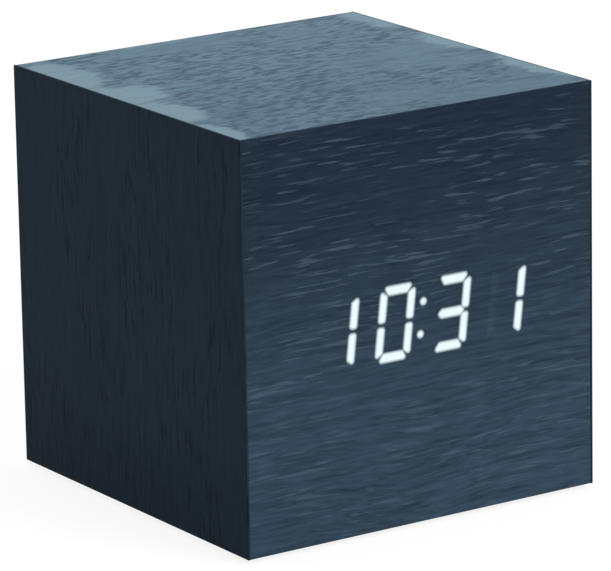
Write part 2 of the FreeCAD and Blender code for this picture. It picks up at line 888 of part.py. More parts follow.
# Two insulated leads from the roof of the battery box to the control board.
def makeBatteryLeads():
    roof = value("footHeight + trayTop")
    board = value("controlBack")
    rise = value("leadRise")
    start = value("trayLength / 2 - leadSetback")
    leads = []
    for side in (-0.5, 0.5):
        x = value("leadPlace") + side * value("leadSpacing")
        points = [
            FreeCAD.Vector(x, start, roof),
            FreeCAD.Vector(x, start, roof + 0.7 * rise),
            FreeCAD.Vector(x, start + 0.38 * (board - start), roof + rise),
            FreeCAD.Vector(x, board, roof + rise),
        ]
        ring = []
        for turn in range(7):
            angle = math.radians(60 * turn)
            spoke = FreeCAD.Vector(math.cos(angle), math.sin(angle), 0)
            ring.append(points[0] + spoke * value("leadDiameter / 2"))
        leads.append(swept(Part.makePolygon(ring), roundedRoute(points)))
    addFeatureShape("battery_leads", Part.makeCompound(leads))


# ---- the controls: plate, buttons, switches and the board behind them ----------------------

buttonNames = ("set", "up", "down")
buttonPlaces = [f"firstButton - {number} * buttonPitch" for number in range(len(buttonNames))]


# Seen from behind the clock, so places along X are turned round in this body.
def makeControlPlate():
    body = addBody("control_plate", ("0", "plateFace", "plateZ"), facingBack)
    face = addSketch(body, "XZ_Plane")
    rectangle(face, "plateWidth", "plateHeight")
    for name, across in zip(buttonNames, buttonPlaces):
        circle(face, "buttonDiameter + 2 * buttonGap", f"-({across})", "0")
    flatted(face, "soundHole", "-microphonePlace", "0")
    mouthWidth = "socketAcross + 2 * mouthGap"
    rectangle(face, mouthWidth, "socketTall + 2 * mouthGap", "-socketPlace", "0")
    pad(body, face, "plateThickness", back=True)

    def corner(box):
        return box.XLength < 1e-4 and box.ZLength < 1e-4 and near(abs(box.XMax), "plateWidth / 2")

    roundEdges(body, edgesAt(body, corner), "plateRound")
    spigot = addSketch(body, "XZ_Plane", "-plateThickness")
    rectangle(spigot, "spigotWidth", "spigotHeight")
    rectangle(spigot, "spigotWidth - 2 * spigotWall", "spigotHeight - 2 * spigotWall")
    pad(body, spigot, "plateBack - innerHalf", back=True)
    bosses = addSketch(body, "XZ_Plane", "-plateThickness")
    bores = addSketch(body, "XZ_Plane", "-(plateFace - controlFront)")
    for x in ("-bossReach", "bossReach"):
        flatted(bosses, "bossDiameter", x, "0")
        flatted(bores, "screwShank + 2 * pilotPlay", x, "0")
    pad(body, bosses, "plateBack - controlFront", back=True)
    pocket(body, bores, "controlScrewLength - controlBoard + pilotPlay", back=True)


# A round cap with a collar behind the plate and a stem that reaches its switch.
def makeButtons():
    rim = "buttonDiameter / 2"
    collar = "-(plateFace - collarFront)"
    collarEnd = f"{collar} - collarThickness"
    for name, across in zip(buttonNames, buttonPlaces):
        body = addBody(name + "_button", (across, "plateFace", "plateZ"), axisBack)
        profile = [("0", "buttonStand"), (f"{rim} - buttonRound", "buttonStand")]
        profile += [(rim, "buttonStand - buttonRound"), (rim, collar), ("0", collar)]
        turned(body, profile)
        flange = addSketch(body, "XY_Plane", collar)
        flatted(flange, "collarDiameter")
        pad(body, flange, "collarThickness", back=True)
        stem = addSketch(body, "XY_Plane", collarEnd)
        flatted(stem, "stemDiameter")
        pad(body, stem, f"plateFace - plungerTop + {collarEnd}", back=True)
        body = addBody(name + "_plunger", (across, "plungerTop", "plateZ"), axisBack)
        end = addSketch(body, "XY_Plane")
        flatted(end, "plungerDiameter")
        pad(body, end, "plungerStand + plungerDepth", back=True)


def makeSwitches():
    body = addBody("tact_switches", ("0", "controlFront", "plateZ"), facingBack)
    cases = addSketch(body, "XZ_Plane")
    bores = addSketch(body, "XZ_Plane", "switchHeight")
    for across in buttonPlaces:
        rectangle(cases, "switchWidth", "switchWidth", f"-({across})", "0")
        flatted(bores, "plungerDiameter + 2 * plungerGap", f"-({across})", "0")
    pad(body, cases, "switchHeight")
    pocket(body, bores, "switchBore")


def makeControlBoard():
    body = addBody("control_board", ("0", "controlFront", "plateZ"), facingBack)
    face = addSketch(body, "XZ_Plane")
    rectangle(face, "boardWidth", "boardHeight", "0", "boardLift")
    for x in ("-bossReach", "bossReach"):
        flatted(face, "screwShank + 2 * screwPlay", x, "0")
    pad(body, face, "controlBoard", back=True)


def makeControlScrews():
    spots = [("-bossReach", "0"), ("bossReach", "0")]
    sizesOfOne = ("screwHead", "screwHeadHeight", "screwShank", "controlScrewLength")
    makeScrews("control_screws", ("0", "controlBack", "plateZ"), axisFront, spots, *sizesOfOne)


# An upright micro-size power socket: a thin metal mouth with two cut corners and a tongue.
def makeSocket():
    body = addBody("usb_socket", ("socketPlace", "controlFront", "plateZ"), facingBack)
    height = "plateFace - socketRecess - controlFront"

    def mouthShape(wall):
        side = f"socketAcross / 2 - {wall}"
        high = f"socketTall / 2 - {wall}"
        cut = "socketTall / 3"
        corners = [(f"-({side})", high), (side, high), (side, f"-({high}) + {cut}")]
        corners += [(f"{side} - {cut}", f"-({high})"), (f"-({side}) + {cut}", f"-({high})")]
        return corners + [(f"-({side})", f"-({high}) + {cut}")]

    shell = addSketch(body, "XZ_Plane")
    outline(shell, mouthShape("0"))
    pad(body, shell, height)
    mouth = addSketch(body, "XZ_Plane", height)
    outline(mouth, mouthShape("socketWall"))
    pocket(body, mouth, f"({height}) * 0.6")
    tongue = addSketch(body, "XZ_Plane")
    rectangle(tongue, "socketAcross / 2", "socketTongue", "0", "socketTall / 6")
    pad(body, tongue, f"{height} - tongueDrop")


# A round can standing on a board, with a blind bore in the middle of its top.
def makeCan(label, at, turn, diameter, height, bore):
    body = addBody(label, at, turn)
    wall = addSketch(body, "XY_Plane")
    flatted(wall, diameter, flats=manyFlats)
    pad(body, wall, height)
    hole = addSketch(body, "XY_Plane", height)
    flatted(hole, bore)
    pocket(body, hole, f"{height} / 2")


def makeBoardParts():
    def inner(x, up):
        return (x, "controlBack", f"plateZ + {up}")

    at = ("microphonePlace", "controlFront", "plateZ")
    makeCan("microphone", at, axisBack, "microphoneDiameter", "microphoneHeight", "soundHole")
    at = inner("buzzerPlace", "buzzerRise")
    makeCan("buzzer", at, axisFront, "buzzerDiameter", "buzzerHeight", "buzzerHole")
    at = inner("controllerPlace", "controllerRise")
    case = ("controllerWidth", "controllerLength", "controllerHeight")
    makeChip("microcontroller", at, None, case, 8)
    makeHeader("control_header", ("ribbonPlace", "controlBack", "controlHeaderZ"), None)

    body = addBody("clock_crystal", inner("crystalPlace", "crystalRise"))
    end = addSketch(body, "YZ_Plane", "-crystalLength / 2")
    flatted(end, "crystalDiameter", "-crystalDiameter / 2", "0")
    pad(body, end, "crystalLength")

    body = addBody("capacitors", inner("capacitorPlace", "capacitorRise"), axisFront)
    cans = addSketch(body, "XY_Plane")
    for x in ("0", "capacitorSpacing"):
        flatted(cans, "capacitorDiameter", x, "0")
    pad(body, cans, "capacitorHeight")

    body = addBody("backup_cell_holder", inner("-coinPlace", "coinRise"), axisFront)
    well = "coinDiameter + 2 * coinPlay"
    cup = addSketch(body, "XY_Plane")
    flatted(cup, f"{well} + 2 * holderWall", flats=manyFlats)
    pad(body, cup, "holderFloor + coinThickness + holderLip")
    seat = addSketch(body, "XY_Plane", "holderFloor")
    flatted(seat, well, flats=manyFlats)
    pocket(body, seat, "coinThickness + holderLip", back=True)
    at = ("-coinPlace", "controlBack - holderFloor", "plateZ + coinRise")
    body = addBody("backup_cell", at, axisFront)
    coin = addSketch(body, "XY_Plane")
    flatted(coin, "coinDiameter", flats=manyFlats)
    pad(body, coin, "coinThickness")


# ---- the battery box in the base -----------------------------------------------------------


def makeTray():
    body = addBody("battery_tray", ("0", "0", "footHeight"))
    flange = addSketch(body, "XY_Plane")
    rectangle(flange, "flangeWidth", "flangeLength")
    pad(body, flange, "trayFlange")
    walls = addSketch(body, "XY_Plane")
    rectangle(walls, "trayWidth", "trayLength")
    pad(body, walls, "trayTop")
    recess = addSketch(body, "XY_Plane")
    rectangle(recess, "openingWidth", "openingLength")
    pocket(body, recess, "trayFlange", back=True)
    cavity = addSketch(body, "XY_Plane")
    rectangle(cavity, "cavityWidth", "cavityLength")
    pocket(body, cavity, "cavityTop", back=True)
    slots = addSketch(body, "XY_Plane", "trayFlange")
    slotDepth = "trayWall + ledge"
    for x in ("-cellPitch", "cellPitch"):
        y = f"-(cavityLength + {slotDepth}) / 2"
        rectangle(slots, "tabWidth + 2 * slotGap", slotDepth, x, y)
    pocket(body, slots, "slotHeight", back=True)
    ribs = addSketch(body, "XY_Plane", "cavityTop")
    for x in ("-cellPitch", "0", "cellPitch"):
        rectangle(ribs, "ribThickness", "cellLength * 0.8", x, "0")
    pad(body, ribs, "ribDepth", back=True)
    # Wedge hooks on both long walls snap over the top of the base panel.
    hooks = addSketch(body, "XZ_Plane")
    low = "veneer + basePanel + hookGap"
    for side in ("", "-"):
        wall = f"{side}(trayWidth / 2)"
        tip = f"{side}(trayWidth / 2 + hookReach)"
        outline(hooks, [(wall, low), (tip, low), (wall, f"{low} + hookHeight")])
    pad(body, hooks, "hookLength", centred=True)


def makeDoor():
    body = addBody("battery_door", ("0", "0", "footHeight"))
    side = addSketch(body, "YZ_Plane")
    outline(side, [
        ("hingeY", "0"),
        ("doorLength / 2", "0"),
        ("doorLength / 2", "doorThickness"),
        ("hingeY", "doorThickness"),
    ])
    pad(body, side, "doorWidth", centred=True)
    barrel = addSketch(body, "YZ_Plane")
    circle(barrel, "doorThickness", "hingeY", "hingeZ")
    pad(body, barrel, "doorWidth", centred=True)
    # Two tabs reach through slots in the box's end wall and hang behind its flange.
    for x in ("-cellPitch", "cellPitch"):
        tab = addSketch(body, "YZ_Plane", x)
        back = "-tabEnd"
        top = "tabBottom + tabThickness"
        outline(tab, [
            ("hingeY - hingeZ / 2", "hingeZ"),
            ("hingeY - hingeZ / 2", "tabBottom"),
            (back, "tabBottom"),
            (back, top),
            ("hingeY + hingeZ", top),
            ("hingeY + 2 * hingeZ", "hingeZ"),
        ])
        pad(body, tab, "tabWidth", centred=True)
    latch = addSketch(body, "XY_Plane", "doorThickness - latchHeight")
    rectangle(latch, "latchWidth", "2 * latchStand", "0", "doorLength / 2")
    pad(body, latch, "latchHeight")
    scoop = addSketch(body, "XY_Plane")
    circle(scoop, "2 * scoopRadius", "0", "doorLength / 2 + scoopRadius / 2")
    pocket(body, scoop, "scoopDepth", back=True)
    # Shallow grooves next to the scoop give a thumb its grip on the door's latched end.
    grooves = addSketch(body, "XY_Plane")
    for number in range(4):
        y = f"doorLength / 2 - scoopRadius - {number} * gripPitch"
        rectangle(grooves, "gripLength", "gripWidth", "0", y)
    pocket(body, grooves, "gripDepth", back=True)


# Four cells side by side, each the other way round from its neighbours.
def makeCells():
    body = addBody("aaa_cells", ("-cellPitch", "0", "footHeight + cellZ"))
    end = addSketch(body, "XZ_Plane", "-(cellEnd - cellLength)")
    circle(end, "cellDiameter", "-cellPitch / 2", "0")
    cell = pad(body, end, "cellLength - nubLength", back=True)
    shoulder = addSketch(body, "XZ_Plane", "-(cellEnd - nubLength)")
    flatted(shoulder, "nubDiameter", "-cellPitch / 2", "0")
    nub = pad(body, shoulder, "nubLength", back=True)
    row = [("PolarPattern", "Z_Axis", None), ("LinearPattern", "X_Axis", "2 * cellPitch")]
    repeat(body, [cell, nub], row)


# Nickel-plated strips on both end walls; each one joins two neighbouring cells or ends the row.
def makeContacts():
    body = addBody("battery_contacts", ("0", "0", "footHeight + cellZ"))
    single = "cellPitch - contactThickness"
    double = "2 * cellPitch - contactThickness"
    face = addSketch(body, "XZ_Plane", "cavityLength / 2 - contactThickness")
    for x in ("-cellPitch", "cellPitch"):
        rectangle(face, double, "contactHeight", x, "0")
    pad(body, face, "contactThickness")
    face = addSketch(body, "XZ_Plane", "-(cavityLength / 2)")
    for x in ("-1.5 * cellPitch", "1.5 * cellPitch"):
        rectangle(face, single, "contactHeight", x, "0")
    rectangle(face, double, "contactHeight", "0", "0")
    pad(body, face, "contactThickness")


# Bowed leaves, each folded from four flats, press on the flat ends of the cells.
def makeLeaves():
    body = addBody("leaf_springs", ("-cellPitch", "0", "footHeight + cellZ"))
    wall = "-(cavityLength / 2 - contactThickness)"
    section = addSketch(body, "YZ_Plane", "-cellPitch / 2")
    corners = []
    outerFold = (0, 45, 90, 135, 180)
    for reach, angles in (("leafRise", outerFold), ("leafRise - leafThickness", outerFold[::-1])):
        for angle in angles:
            corners.append((f"{wall} + ({reach}) * sin({angle})", f"({reach}) * cos({angle})"))
    outline(section, corners)
    leaf = pad(body, section, "leafWidth", centred=True)
    repeat(body, [leaf], [("PolarPattern", "Z_Axis", None), ("LinearPattern", "X_Axis", "2 * cellPitch")])


# ---- build, check and write ----------------------------------------------------------------

mitredWall("left_panel", ("-coreHalf", "0", "footHeight"), (aboutZ, -90))
mitredWall("right_panel", ("coreHalf", "0", "footHeight"), (aboutZ, 90))
makeFrontPanel()
makeBackPanel()
makeTopPanel()
makeBasePanel()
makeVeneers()
makeCornerBlocks()
makeBaseScrews()
makeFeet()

makeLightFrame()
makeSegments()
makeSegmentLeds()
makeDisplayBoard()
makeDisplayScrews()
chipPlace = ("displayShift - driverShift", "displayBoardBack", "middle")
makeChip("driver_chip", chipPlace, facingBack, ("driverWidth", "driverLength", "driverHeight"), 14)
makeHeader("display_header", ("ribbonPlace", "displayBoardBack", "displayHeaderZ"), facingBack)
makeRibbon()

makeControlPlate()
makeButtons()
makeSwitches()
makeControlBoard()
makeControlScrews()
makeSocket()
makeBoardParts()

makeTray()
makeDoor()
makeCells()
makeContacts()
makeLeaves()
makeBatteryLeads()

doc.recompute()
for thing in doc.Objects:
    if {"Invalid", "Error"} & set(thing.State):
        raise RuntimeError(f"{thing.Label} failed: {thing.State}")
for part in parts:
    if part.Shape.isNull() or not part.Shape.isValid():
        raise RuntimeError(f"{part.Label} has no valid shape")
    part.Shape.exportStep(f"parts/{part.Label}.step")
print(len(parts), "sub-parts written")
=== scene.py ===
import json
import math

import bmesh
import bpy
from mathutils import Matrix, Vector


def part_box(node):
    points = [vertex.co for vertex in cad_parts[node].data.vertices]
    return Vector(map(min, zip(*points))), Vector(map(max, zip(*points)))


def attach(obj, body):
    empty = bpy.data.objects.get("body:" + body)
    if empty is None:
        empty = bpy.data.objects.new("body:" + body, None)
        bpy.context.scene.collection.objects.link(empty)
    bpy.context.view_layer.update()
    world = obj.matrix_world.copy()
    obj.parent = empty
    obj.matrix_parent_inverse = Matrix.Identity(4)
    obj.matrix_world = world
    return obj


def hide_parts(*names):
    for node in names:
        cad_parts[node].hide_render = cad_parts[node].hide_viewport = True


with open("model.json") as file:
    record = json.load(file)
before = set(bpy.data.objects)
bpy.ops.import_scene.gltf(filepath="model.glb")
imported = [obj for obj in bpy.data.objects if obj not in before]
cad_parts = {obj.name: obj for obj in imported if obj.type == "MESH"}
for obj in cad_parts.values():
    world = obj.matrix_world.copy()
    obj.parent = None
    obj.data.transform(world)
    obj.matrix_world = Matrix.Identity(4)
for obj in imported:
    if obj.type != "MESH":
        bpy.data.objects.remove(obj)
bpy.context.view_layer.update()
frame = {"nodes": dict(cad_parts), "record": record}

mm = 0.001
scene = bpy.context.scene
nodes = frame["nodes"]
print("frame loaded,", len(nodes), "nodes")

# camera, as angles round the cube and a slide in the view plane
camera = {
    "azimuth": -33.676,
    "elevation": 15.12,
    "roll": -1.037,
    "distance": 979.47 * mm,
    "lens": 297.7,
    "sensor": 36,
    "clipStart": 50 * mm,
    "clipEnd": 20,
    "aimHeight": 41 * mm,
    "slideRight": -0.469 * mm,
    "slideUp": 2.242 * mm,
}


def makeCamera(values):
    azimuth = math.radians(values["azimuth"])
    elevation = math.radians(values["elevation"])
    roll = math.radians(values["roll"])
    flat = math.cos(elevation)
    back = Vector((math.sin(azimuth) * flat, -math.cos(azimuth) * flat, math.sin(elevation)))
    right = (-back).cross(Vector((0, 0, 1))).normalized()
    up = right.cross(-back)
    rightRolled = right * math.cos(roll) + up * math.sin(roll)
    upRolled = up * math.cos(roll) - right * math.sin(roll)
    spot = Vector((0, 0, values["aimHeight"])) + back * values["distance"]
    spot -= rightRolled * values["slideRight"] + upRolled * values["slideUp"]
    data = bpy.data.cameras.new("clockCamera")
    data.lens = values["lens"]
    data.sensor_width = values["sensor"]
    data.clip_start = values["clipStart"]
    data.clip_end = values["clipEnd"]
    cam = bpy.data.objects.new("clockCamera", data)
    axes = Matrix((rightRolled, upRolled, back)).transposed()
    cam.matrix_world = Matrix.Translation(spot) @ axes.to_4x4()
    scene.collection.objects.link(cam)
    scene.camera = cam


makeCamera(camera)


# shader building

def shade(levels):  # screen levels, 0 to 255, as a linear colour
    linear = []
    for level in levels:
        part = level / 255
        linear.append(part / 12.92 if part <= 0.04045 else ((part + 0.055) / 1.055) ** 2.4)
    return (*linear, 1)


def addNode(mat, kind, inputs=None, **props):
    node = mat.node_tree.nodes.new("ShaderNode" + kind)
    for key, value in props.items():
        setattr(node, key, value)
    for key, value in (inputs or {}).items():
        socket = node.inputs[key]
        if isinstance(value, bpy.types.NodeSocket):
            mat.node_tree.links.new(value, socket)
        else:
            socket.default_value = value
    return node


def newMaterial(name):
    mat = bpy.data.materials.new(name)
    mat.use_nodes = True
    mat.node_tree.nodes.clear()
    return mat


def surface(mat, colour, rough, normal, specular=0.5, metal=0.0, glow=None):
    inputs = {
        "Base Color": colour, "Roughness": rough, "Normal": normal, "Specular IOR Level": specular,
        "Metallic": metal,
    }
    if glow is not None:
        inputs.update({"Emission Color": glow, "Emission Strength": 1.0})
    shader = addNode(mat, "BsdfPrincipled", inputs).outputs[0]
    addNode(mat, "OutputMaterial", {"Surface": shader})
    return mat


def objectPlace(mat):
    return addNode(mat, "TexCoord").outputs["Object"]


def objectAxes(mat):
    return addNode(mat, "SeparateXYZ", {0: objectPlace(mat)}).outputs


# object coordinates, turned so that the grain runs along X, and stretched
def stretched(mat, stretch, turn=(0, 0, 0), shift=(0, 0, 0)):
    inputs = {"Vector": objectPlace(mat), "Rotation": turn, "Location": shift}
    turned = addNode(mat, "Mapping", inputs).outputs[0]
    return addNode(mat, "Mapping", {"Vector": turned, "Scale": stretch}).outputs[0]


def noise(mat, vector, detail=2.0, distortion=0.0):
    inputs = {"Vector": vector, "Scale": 1.0, "Detail": detail, "Distortion": distortion}
    return addNode(mat, "TexNoise", inputs).outputs[0]


def calc(mat, operation, first, second=0.0, clamp=False):
    inputs = {0: first, 1: second}
    return addNode(mat, "Math", inputs, operation=operation, use_clamp=clamp).outputs[0]


def around(mat, value, amount):  # a pattern from 0 to 1 made to swing round zero by the amount
    return calc(mat, "MULTIPLY", calc(mat, "SUBTRACT", value, 0.5), amount)


def weighed(mat, first, second, share):  # a share of the first and the rest of the second
    rest = calc(mat, "MULTIPLY", second, 1 - share)
    return calc(mat, "ADD", calc(mat, "MULTIPLY", first, share), rest)


def between(mat, value, span, newSpan=(0.0, 1.0), smooth=True):
    inputs = {
        "Value": value, "From Min": span[0], "From Max": span[1],
        "To Min": newSpan[0], "To Max": newSpan[1],
    }
    kind = "SMOOTHSTEP" if smooth else "LINEAR"
    return addNode(mat, "MapRange", inputs, interpolation_type=kind).outputs[0]


noiseRange = (0.3, 0.7)  # most of a noise lies between these


def unevenGloss(mat, value, rough, spread):  # a roughness that follows a pattern
    return between(mat, value, noiseRange, (rough - spread, rough + spread), smooth=False)


def alongAxis(mat, values):  # 0 to 1 between two places on one axis
    axis, start, end = values
    place = objectAxes(mat)[axis]
    if start < end:
        return between(mat, place, (start, end))
    return between(mat, place, (end, start), (1, 0))


def blend(mat, factor, first, second, clamped=True):
    inputs = {0: factor, 6: first, 7: second}
    return addNode(mat, "Mix", inputs, data_type="RGBA", clamp_factor=clamped).outputs[2]


def relief(mat, height, depth):
    return addNode(mat, "Bump", {"Height": height, "Distance": depth, "Strength": 1.0}).outputs[0]


# Stained, open-pored veneer. Pale flecks fill some pores, most of all on the front, and the others
# stay dark. "fade" and where the flecks start name an axis and two places on it: the colour gets
# lighter and the flecks thicker from the first to the second. On the front the fade is painted light.
alongX = (0, 0, 0)
alongZ = (0, math.pi / 2, 0)
frontGrain = {
    "turn": alongX, "shift": (0.313, 0.12, 0.052), "bend": 5 * mm,
    "dark": (13, 28, 44), "light": (51, 71, 88),
    # painted light: the fade draws the front darker at the top and lighter towards the floor
    "fade": (2, 78 * mm, 6 * mm), "fadeShare": 0.72, "contrast": (0.50, 1.32),
    "waveSize": (27, 640, 640), "waveShare": 0.85,
    "rippleSize": (165, 1800, 1800), "rippleShare": 1.0, "fibreShare": 0.40,
    "pore": (14, 27, 41), "poreSize": (90, 820, 820), "poreSpan": (0.56, 0.70), "poreShare": 0.18,
    "fleck": (86, 104, 121), "fleckSize": (120, 1650, 1650), "fleckSpan": (0.57, 0.65), "fleckShare": 0.36,
    "fleckFrom": (2, -150 * mm, 62 * mm), "specular": 0.12, "rough": 0.55,
}
# painted shade: the sides share the front's stain, drawn darker as faces turned from the light
sideGrainAndShade = {
    "turn": alongZ, "shift": (0.62, 0.41, 0.23), "bend": 3 * mm,
    "dark": (18, 33, 44), "light": (29, 44, 56),
    "fade": (2, 0, 30 * mm), "fadeShare": 0.45,
    "waveSize": (45, 330, 330), "waveShare": 0.55,
    "rippleSize": (190, 1450, 1450), "rippleShare": 0.55, "fibreShare": 0.22,
    "pore": (11, 20, 28), "poreSize": (175, 920, 920), "poreSpan": (0.49, 0.66), "poreShare": 0.62,
    "fleck": (40, 56, 68), "fleckSize": (150, 1100, 1100), "fleckSpan": (0.60, 0.70), "fleckShare": 0.12,
    "fleckFrom": (2, 0, 60 * mm), "specular": 0.04, "rough": 0.62,
}
# painted sheen and light: the top shares the front's stain, drawn paler and bluer as lit from above
topGrainAndSheen = {
    "turn": alongX, "shift": (0.17, 0.77, 0.49), "bend": 4 * mm,
    "dark": (64, 94, 113), "light": (91, 121, 140),
    "fade": (1, -50 * mm, 45 * mm), "fadeShare": 0.40,
    "waveSize": (45, 330, 330), "waveShare": 0.75,
    "rippleSize": (260, 1350, 1350), "rippleShare": 2.0, "fibreShare": 0.80,
    "pore": (22, 60, 80), "poreSize": (330, 940, 940), "poreSpan": (0.45, 0.60), "poreShare": 0.80,
    "fleck": (112, 140, 154), "fleckSize": (150, 700, 700), "fleckSpan": (0.58, 0.68), "fleckShare": 0.20,
    "fleckFrom": (1, -200 * mm, -100 * mm), "specular": 0.10, "rough": 0.5,
    # pale lobes of painted glare, partly unstained haze, along the edges: middle x, y and half widths, in
    # millimetres
    "lobes": (
        (-40, 25, 9.5, 13), (-40, 4, 11.5, 9.5), (-40, -13, 8.5, 11), (-40, -33, 4.5, 9),
        (41, 33, 6.5, 12), (41, 6, 6, 10), (41.5, -22, 6.5, 13), (-12, 42, 22, 3.5),
    ),
    "lobeSpan": (0.76, 1.10), "raggedSize": (190, 330, 330), "ragged": 0.9,
    "edgeGlare": (112, 140, 154), "edgeGlareShare": 0.9,
}

# what all the faces share, and then the detail, distortion and shift of each pattern
veneer = {
    "bendSize": (22, 26, 26), "driftSize": (16, 40, 40), "driftShare": 0.35,
    "fibreSize": (110, 1700, 1700), "clusterSize": (30, 75, 75), "clusterSpan": (0.38, 0.54),
    "roughSpread": 0.06, "relief": 0.05 * mm,
}
patterns = {
    "fibre": (2, 0.0, 0.0), "wave": (3, 0.9, 0.0), "ripple": (3, 0.6, 0.2), "drift": (2, 0.0, 0.7),
    "cluster": (2, 0.3, 0.3), "pore": (4, 0.2, 0.9), "fleck": (2, 0.1, 0.5),
}


def lobeMask(mat, look):
    nearest = None
    for x, y, halfX, halfY in look["lobes"]:
        inputs = {
            "Vector": objectPlace(mat), "Scale": (1 / (halfX * mm), 1 / (halfY * mm), 0),
            "Location": (-x / halfX, -y / halfY, 0),
        }
        sized = addNode(mat, "Mapping", inputs).outputs[0]
        away = addNode(mat, "VectorMath", {0: sized}, operation="LENGTH").outputs["Value"]
        nearest = away if nearest is None else calc(mat, "MINIMUM", nearest, away)
    ragged = noise(mat, stretched(mat, look["raggedSize"]), detail=4)
    edge = calc(mat, "ADD", nearest, around(mat, ragged, look["ragged"]))
    return between(mat, edge, look["lobeSpan"], (1, 0))


def veneerPattern(mat, look):
    look = {**veneer, **look}
    turn, shift = look["turn"], look["shift"]
    wander = noise(mat, stretched(mat, look["bendSize"], turn, shift), detail=1)
    bend = around(mat, wander, look["bend"])

    def pattern(name):  # follows the bends of the grain
        size = look[name + "Size"]
        detail, distortion, move = patterns[name]
        straight = stretched(mat, size, turn, [part + move for part in shift])
        inputs = {0: (0, size[1], size[2]), "Scale": bend}
        aside = addNode(mat, "VectorMath", inputs, operation="SCALE").outputs[0]
        bent = addNode(mat, "VectorMath", {0: straight, 1: aside}, operation="ADD").outputs[0]
        return noise(mat, bent, detail, distortion)

    fibre = pattern("fibre")
    faded = alongAxis(mat, look["fade"])
    figure = around(mat, pattern("drift"), look["driftShare"])
    for name in ("wave", "ripple"):
        figure = calc(mat, "ADD", figure, around(mat, pattern(name), look[name + "Share"]))
    figure = calc(mat, "ADD", figure, around(mat, fibre, look["fibreShare"]))
    if "contrast" in look:  # the figure is stronger where the fade draws the colour lighter
        strength = between(mat, faded, (0, 1), look["contrast"], smooth=False)
        figure = calc(mat, "MULTIPLY", figure, strength)
    middle = calc(mat, "ADD", around(mat, faded, look["fadeShare"]), 0.5)
    tone = calc(mat, "MAXIMUM", calc(mat, "ADD", middle, figure), 0)
    colour = blend(mat, tone, shade(look["dark"]), shade(look["light"]), clamped=False)

    cluster = between(mat, pattern("cluster"), look["clusterSpan"])
    pores = calc(mat, "MULTIPLY", between(mat, pattern("pore"), look["poreSpan"]), cluster)
    pores = calc(mat, "MULTIPLY", pores, look["poreShare"])
    colour = blend(mat, pores, colour, shade(look["pore"]))
    flecked = calc(mat, "MULTIPLY", alongAxis(mat, look["fleckFrom"]), cluster)
    flecked = calc(mat, "MULTIPLY", between(mat, pattern("fleck"), look["fleckSpan"]), flecked)
    flecked = calc(mat, "MULTIPLY", flecked, look["fleckShare"])
    colour = blend(mat, flecked, colour, shade(look["fleck"]))
    # painted glare, partly unstained haze: pale lobes along the top's edges
    if "lobes" in look:
        edgeGlare = calc(mat, "MULTIPLY", lobeMask(mat, look), look["edgeGlareShare"])
        colour = blend(mat, edgeGlare, colour, shade(look["edgeGlare"]))
    height = calc(mat, "SUBTRACT", fibre, calc(mat, "ADD", pores, flecked))
    rough = unevenGloss(mat, fibre, look["rough"], look["roughSpread"])
    return colour, rough, relief(mat, height, look["relief"])


def veneerMaterial(name, look):
    mat = newMaterial(name)
    return surface(mat, *veneerPattern(mat, look), look["specular"])


frontVeneer = veneerMaterial("stainedVeneerFront", frontGrain)
sideVeneerAndShade = veneerMaterial("stainedVeneerSideAndShade", sideGrainAndShade)
topVeneerAndSheen = veneerMaterial("stainedVeneerTopAndSheen", topGrainAndSheen)

# moulded, coated and metal finishes: a mottled colour, uneven gloss and a fine relief
plainFinish = {
    "size": (900, 900, 900), "fineness": 6, "coarseShare": 0.6, "mottleSpan": (0.3, 0.7),
    "roughSpread": 0.05, "metal": 0.0, "specular": 0.4, "relief": 0.01 * mm,
}
brushed = (500, 3500, 3500)  # fine lines along X
finishes = {
    "steel": {"dark": (150, 152, 155), "light": (186, 188, 190), "rough": 0.32, "metal": 1.0,
              "size": brushed, "relief": 0.02 * mm},
    "rubber": {"dark": (22, 22, 23), "light": (34, 34, 35), "rough": 0.8, "relief": 0.03 * mm},
    "black_plastic": {"dark": (19, 20, 22), "light": (31, 32, 34), "rough": 0.5,
                      "size": (1500, 1500, 1500), "relief": 0.06 * mm},
    "white_plastic": {"dark": (214, 212, 206), "light": (230, 228, 222), "rough": 0.45},
    "header_plastic": {"dark": (216, 208, 184), "light": (232, 224, 202), "rough": 0.5},
    "diffuser": {"dark": (206, 208, 206), "light": (224, 226, 224), "rough": 0.6},
    "led_resin": {"dark": (226, 214, 150), "light": (240, 228, 170), "rough": 0.3},
    "red_lead": {"dark": (136, 24, 22), "light": (168, 38, 34), "rough": 0.45},
    "nickel": {"dark": (168, 166, 160), "light": (202, 200, 194), "rough": 0.28, "metal": 1.0,
               "size": brushed},
    "aluminium": {"dark": (176, 178, 180), "light": (206, 208, 210), "rough": 0.3, "metal": 1.0,
                  "size": brushed, "relief": 0.02 * mm},
    "cell_jacket": {"dark": (30, 34, 40), "light": (40, 45, 52), "rough": 0.3},
}


def mouldedMaterial(name, look):
    look = {**plainFinish, **look}
    mat = newMaterial(name)
    coarse = noise(mat, stretched(mat, look["size"]), detail=3)
    fine = noise(mat, stretched(mat, [look["fineness"] * part for part in look["size"]]))
    mottle = between(mat, weighed(mat, coarse, fine, look["coarseShare"]), look["mottleSpan"])
    colour = blend(mat, mottle, shade(look["dark"]), shade(look["light"]))
    rough = unevenGloss(mat, coarse, look["rough"], look["roughSpread"])
    normal = relief(mat, fine, look["relief"])
    return surface(mat, colour, rough, normal, look["specular"], look["metal"])


finishOf = {slot: mouldedMaterial(slot, look) for slot, look in finishes.items()}
finishOf["dark_veneer"] = frontVeneer

# fibreboard: pressed fibres, raw inside, and stained where a cut edge shows under or behind the cube
board = {
    "dark": (128, 98, 68), "light": (162, 130, 94), "stain": (27, 38, 47),
    "under": (2, 1.9 * mm, 1.4 * mm), "behind": (1, 38.4 * mm, 38.8 * mm),
    "fibre": (900, 2600, 900), "fibreSpan": (0.32, 0.68),
    "soakSpan": (0.2, 0.7), "soakShare": (1.0, 0.8),
    "rough": 0.85, "specular": 0.2, "relief": 0.06 * mm,
}


